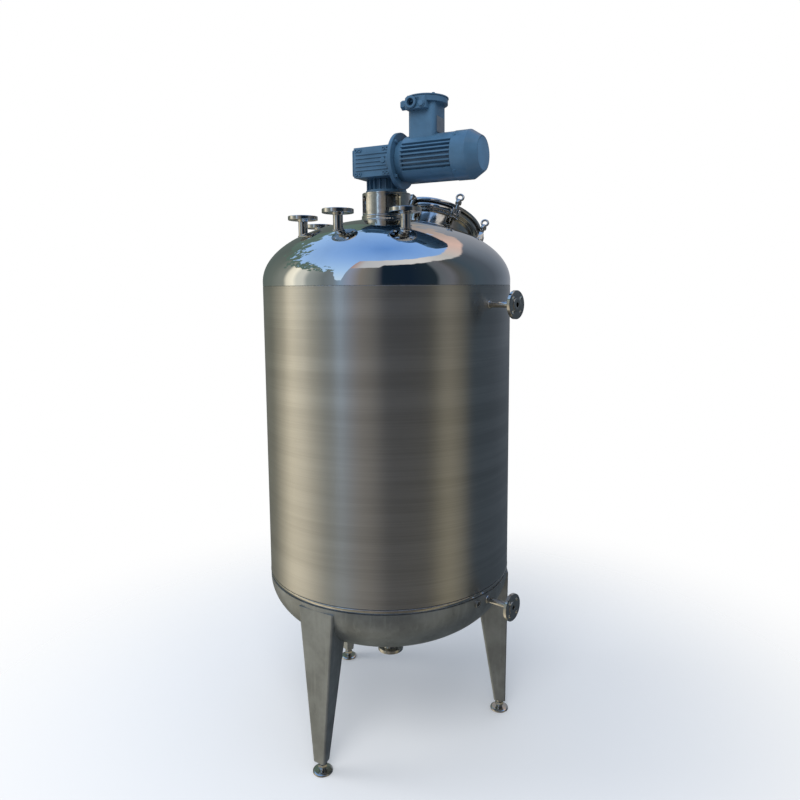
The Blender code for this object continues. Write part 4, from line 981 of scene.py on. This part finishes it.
def make_surroundings(settings):
    """Reflections come from soft panels round the stage, seen by direction; the camera sees white."""
    world = bpy.data.worlds.new("studio")
    bpy.context.scene.world = world
    s = Shading(world)
    way = s.node("ShaderNodeTexCoord", output="Generated")
    x, y, z = [s.node("ShaderNodeSeparateXYZ", None, {0: way}, output=i) for i in range(3)]
    facing = (y.maths("ARCTAN2", x) * (1 / TAU) + (241 / 360)).maths("FRACT")
    up = z.maths("ARCSINE") * (180 / math.pi)
    ripple = s.node("ShaderNodeTexNoise", None, {"Vector": way, "Scale": 9.0, "Detail": 6.0, "Roughness": 0.6})
    near = s.ramp(facing, compass_stops([(a, linear(c)) for a, c in WALLS]))
    ground = s.ramp(facing, compass_stops([(a, linear(c)) for a, c in GROUND]))
    skyline = s.ramp(facing, compass_stops([(a, h / 90) for a, h in SKYLINE])) * 90
    fascia = s.ramp(facing, compass_stops([(a, linear(c)) for a, c in FASCIA]))
    brow = s.ramp(facing, compass_stops([(a, h / 90) for a, h in BROW])) * 90
    sky = s.ramp(up / 90, [(p / 90, linear(c)) for p, c in SKY])
    rough_edge = (ripple - 0.5) * s.ramp(facing, compass_stops([(-180, 1.0), (-55, 1.0), (-45, 0.08), (150, 0.08), (165, 1.0)])) * 55
    level = up + rough_edge
    wall = s.mix((level - brow).smooth(-1.0, 1.0), near, fascia)
    view = s.mix((level - skyline).smooth(-0.8, 0.8), wall, sky)
    view = s.mix(up.smooth(-3, 1), ground, view)
    glossy = s.node("ShaderNodeBackground", None, {"Color": view, "Strength": settings.reflections}, output=0)
    soft = s.node("ShaderNodeBackground", None, {"Color": (0.80, 0.88, 1.0, 1.0), "Strength": settings.fill}, output=0)
    white = s.node("ShaderNodeBackground", None, {"Color": (1, 1, 1, 1), "Strength": 1.0}, output=0)
    is_diffuse = s.node("ShaderNodeLightPath", output="Is Diffuse Ray")
    is_camera = s.node("ShaderNodeLightPath", output="Is Camera Ray")
    lit = s.node("ShaderNodeMixShader", None, {0: is_diffuse, 1: glossy, 2: soft})
    seen = s.node("ShaderNodeMixShader", None, {0: is_camera, 1: lit, 2: white})
    s.node_output("ShaderNodeOutputWorld", seen)
    world.cycles.sampling_method = "NONE"


def linear(rgb):
    """Display values, 0 to 255, to light, made up for the steel's own tint."""
    return tuple(min(((v / 255) ** 2.2) / 0.60, 4.0) for v in rgb)


WALLS = [
    (-180, (80, 86, 84)), (-150, (80, 88, 84)), (-128, (92, 98, 92)), (-106, (122, 124, 116)), (-101, (214, 206, 186)),
    (-93, (230, 222, 202)), (-88, (190, 188, 176)), (-80, (186, 184, 174)), (-75, (134, 138, 134)), (-58, (98, 104, 105)),
    (-48, (104, 112, 118)), (-42, (116, 134, 152)), (-34, (124, 128, 142)), (-24, (112, 106, 100)), (-13, (92, 92, 90)),
    (-7, (60, 62, 68)), (-4, (26, 36, 46)), (20, (24, 34, 46)), (44, (36, 44, 50)), (48, (84, 88, 92)), (60, (92, 92, 96)),
    (68, (74, 74, 73)), (86, (62, 72, 80)), (112, (72, 78, 86)), (137, (100, 106, 115)), (170, (128, 130, 136)), (180, (84, 90, 88)),
]
GROUND = [
    (-180, (76, 80, 78)), (-130, (110, 108, 98)), (-104, (196, 186, 164)), (-85, (186, 176, 156)), (-60, (120, 118, 108)),
    (-20, (104, 100, 94)), (0, (78, 76, 73)), (36, (80, 78, 74)), (56, (128, 121, 102)), (70, (112, 108, 96)),
    (82, (56, 62, 68)), (150, (60, 66, 72)), (180, (76, 80, 78)),
]
SKYLINE = [(-180, 44), (-120, 40), (-70, 34), (-52, 30), (-46, 2), (-40, 2), (-36, 56), (0, 60), (60, 62), (120, 58), (160, 50), (180, 44)]
FASCIA = [(-180, (84, 100, 92)), (-50, (84, 100, 92)), (-38, (150, 120, 112)), (-26, (168, 168, 170)), (40, (196, 190, 186)), (90, (176, 172, 168)), (140, (200, 168, 156)), (180, (120, 120, 116))]
BROW = [(-180, 30), (-120, 30), (-46, 26), (-36, 36), (-8, 40), (-4, 46), (44, 50), (60, 52), (130, 48), (180, 30)]
SKY = [(0, (176, 196, 214)), (30, (150, 180, 214)), (60, (122, 156, 204)), (90, (92, 132, 190))]


def make_floor(settings):
    """A pale round floor that fades into the white behind it, and that steel doesn't reflect."""
    made_points = turned([(0.0, 0.0), (0.4, 0.0), (0.8, 0.0), (1.6, 0.0), (2.6, 0.0)], 96, closed=False)
    mesh = bpy.data.meshes.new("floor")
    mesh.from_pydata(made_points[0].tolist(), [], made_points[1].tolist())
    floor = bpy.data.objects.new("floor", mesh)
    floor.location.z = -0.0005
    bpy.context.scene.collection.objects.link(floor)
    material = bpy.data.materials.new("pale_floor")
    mesh.materials.append(material)
    s = Shading(material)
    where = s.node("ShaderNodeTexCoord", output="Object")
    reach = s.node("ShaderNodeVectorMath", {"operation": "LENGTH"}, {0: where}, output=1)
    pale = s.node("ShaderNodeBsdfDiffuse", None, {"Color": (*settings.floor, 1.0)})
    clear = s.node("ShaderNodeBsdfTransparent")
    back = s.node("ShaderNodeNewGeometry", output="Backfacing")
    share = reach.smooth(0.7, 2.4).maths("MAXIMUM", back)
    s.node_output("ShaderNodeOutputMaterial", s.node("ShaderNodeMixShader", None, {0: share, 1: pale, 2: clear}))
    floor.visible_glossy = False


def make_lamp(name, size, power, place, aim, tint=(1, 1, 1)):
    lamp = bpy.data.lights.new(name, "AREA")
    lamp.shape = "DISK"
    lamp.size = size
    lamp.energy = power
    lamp.color = tint
    made = bpy.data.objects.new(name, lamp)
    made.location = place
    made.rotation_mode = "QUATERNION"
    made.rotation_quaternion = (Vector(aim) - Vector(place)).to_track_quat("-Z", "Y")
    made.visible_glossy = False
    bpy.context.scene.collection.objects.link(made)


def make_camera(settings):
    """The camera of the picture: its place, turn and lens as they were worked out from the tank's outline."""
    azimuth, pitch, yaw, roll = (math.radians(v) for v in (29.0, 6.72, 2.06, 0.29))
    right = np.array([math.cos(azimuth), math.sin(azimuth), 0.0])
    depth = np.array([-math.sin(azimuth), math.cos(azimuth), 0.0])
    rise = np.array([0.0, 0.0, 1.0])
    level = math.sin(yaw) * right + math.cos(yaw) * depth
    forward = math.cos(pitch) * level - math.sin(pitch) * rise
    across = np.cross(forward, rise)
    across /= np.linalg.norm(across)
    upward = np.cross(across, forward)
    rolled = across * math.cos(roll) - upward * math.sin(roll)
    upward = np.cross(rolled, forward)
    lens = bpy.data.cameras.new("camera")
    lens.sensor_width = 36.0
    lens.lens = 682.2 / 800 * 36.0
    lens.shift_x = -12.5 / 800
    lens.shift_y = -30.3 / 800
    made = bpy.data.objects.new("camera", lens)
    bpy.context.scene.collection.objects.link(made)
    spot = np.array(AXIS) - 2.601 * depth + np.array([0, 0, 1.686])
    matrix = np.eye(4)
    matrix[:3, 0], matrix[:3, 1], matrix[:3, 2], matrix[:3, 3] = rolled, upward, -forward, spot
    made.matrix_world = Matrix(matrix.tolist())
    bpy.context.scene.camera = made


# Add-on


def number(name, description, default, **more):
    return FloatProperty(name=name, description=description, default=default, **more)


def tint_of(name, description, default):
    return FloatVectorProperty(name=name, description=description, default=default, subtype="COLOR", size=3, min=0.0, max=1.0)


class TankColours(bpy.types.PropertyGroup):
    shell: tint_of("Shell", "Brushed steel of the shell", (0.60, 0.60, 0.585))
    polish: tint_of("Dome", "Mirror steel of the top head", (0.66, 0.68, 0.69))
    fittings: tint_of("Fittings", "Polished nozzles, manway and lantern", (0.62, 0.61, 0.58))
    matte: tint_of("Legs", "Pickled steel of the legs and the bottom head", (0.36, 0.385, 0.395))
    paint: tint_of("Paint", "Enamel of the gearbox and the motor", (0.046, 0.112, 0.190))
    plate: tint_of("Plate", "The bare rating plate", (0.42, 0.46, 0.50))


class TankStage(bpy.types.PropertyGroup):
    reflections: number("Reflections", "Strength of what the steel mirrors", 1.0, min=0.0)
    fill: number("Fill", "Strength of the soft light from all round", 0.75, min=0.0)
    floor: tint_of("Floor", "Colour of the floor", (0.86, 0.86, 0.86))


class TankPart(bpy.types.Operator):
    """Makes a group of the tank's pieces"""

    bl_options = {"REGISTER", "UNDO"}

    def execute(self, context):
        self.make(context.scene)
        return {"FINISHED"}


class TANK_OT_finishes(TankPart):
    """Makes the steels, the enamel and the rubber"""

    bl_idname = "tank.finishes"
    bl_label = "Finishes"

    def make(self, scene):
        make_finishes(scene.tank_colours)


class TANK_OT_vessel(TankPart):
    """Makes the shell, both dished ends, the seam and the outlet"""

    bl_idname = "tank.vessel"
    bl_label = "Vessel"

    def make(self, scene):
        make_shell()
        make_dome()
        make_bottom_dish()
        make_outlet()


class TANK_OT_legs(TankPart):
    """Finishes the legs and makes their levelling feet"""

    bl_idname = "tank.legs"
    bl_label = "Legs"

    def make(self, scene):
        make_legs()


class TANK_OT_nozzles(TankPart):
    """Makes the flanged nozzles on the head and on the jacket"""

    bl_idname = "tank.nozzles"
    bl_label = "Nozzles"

    def make(self, scene):
        make_top_nozzles()
        make_side_nozzles()


class TANK_OT_manway(TankPart):
    """Makes the manway with its lid, gasket and swing bolts"""

    bl_idname = "tank.manway"
    bl_label = "Manway"

    def make(self, scene):
        make_manway()


class TANK_OT_drive(TankPart):
    """Makes the lantern, the gearbox, the motor and the terminal box"""

    bl_idname = "tank.drive"
    bl_label = "Drive"

    def make(self, scene):
        make_lantern()
        make_gearbox()
        make_motor()
        make_terminal_box()


class TANK_OT_stage(TankPart):
    """Makes the floor, the lights, the surroundings and the camera"""

    bl_idname = "tank.stage"
    bl_label = "Stage"

    def make(self, scene):
        stage = scene.tank_stage
        make_surroundings(stage)
        make_floor(stage)
        make_lamp("key_lamp", 3.0, 120.0, (1.0, -3.4, 4.6), (0, 0, 1.6))
        make_lamp("left_lamp", 2.0, 40.0, (-3.4, -1.6, 3.0), (0, 0, 1.4))
        make_camera(stage)
        scene.view_settings.view_transform = "Standard"


class TANK_PT_panel(bpy.types.Panel):
    bl_idname = "TANK_PT_panel"
    bl_label = "Mixing tank"
    bl_space_type = "VIEW_3D"
    bl_region_type = "UI"
    bl_category = "Tank"

    def draw(self, context):
        for operator in OPERATORS:
            self.layout.operator(operator.bl_idname)
        for group in (context.scene.tank_colours, context.scene.tank_stage):
            for name in group.__annotations__:
                self.layout.prop(group, name)


OPERATORS = (TANK_OT_finishes, TANK_OT_vessel, TANK_OT_legs, TANK_OT_nozzles, TANK_OT_manway, TANK_OT_drive, TANK_OT_stage)
GROUPS = (TankColours, TankStage)


def register():
    for made in (*GROUPS, *OPERATORS, TANK_PT_panel):
        bpy.utils.register_class(made)
    bpy.types.Scene.tank_colours = PointerProperty(type=TankColours)
    bpy.types.Scene.tank_stage = PointerProperty(type=TankStage)


def unregister():
    del bpy.types.Scene.tank_stage
    del bpy.types.Scene.tank_colours
    for made in reversed((*GROUPS, *OPERATORS, TANK_PT_panel)):
        bpy.utils.unregister_class(made)


def main():
    register()
    bpy.ops.tank.finishes()
    bpy.ops.tank.vessel()
    bpy.ops.tank.legs()
    bpy.ops.tank.nozzles()
    bpy.ops.tank.manway()
    bpy.ops.tank.drive()
    bpy.ops.tank.stage()


if __name__ == "__main__":
    main()
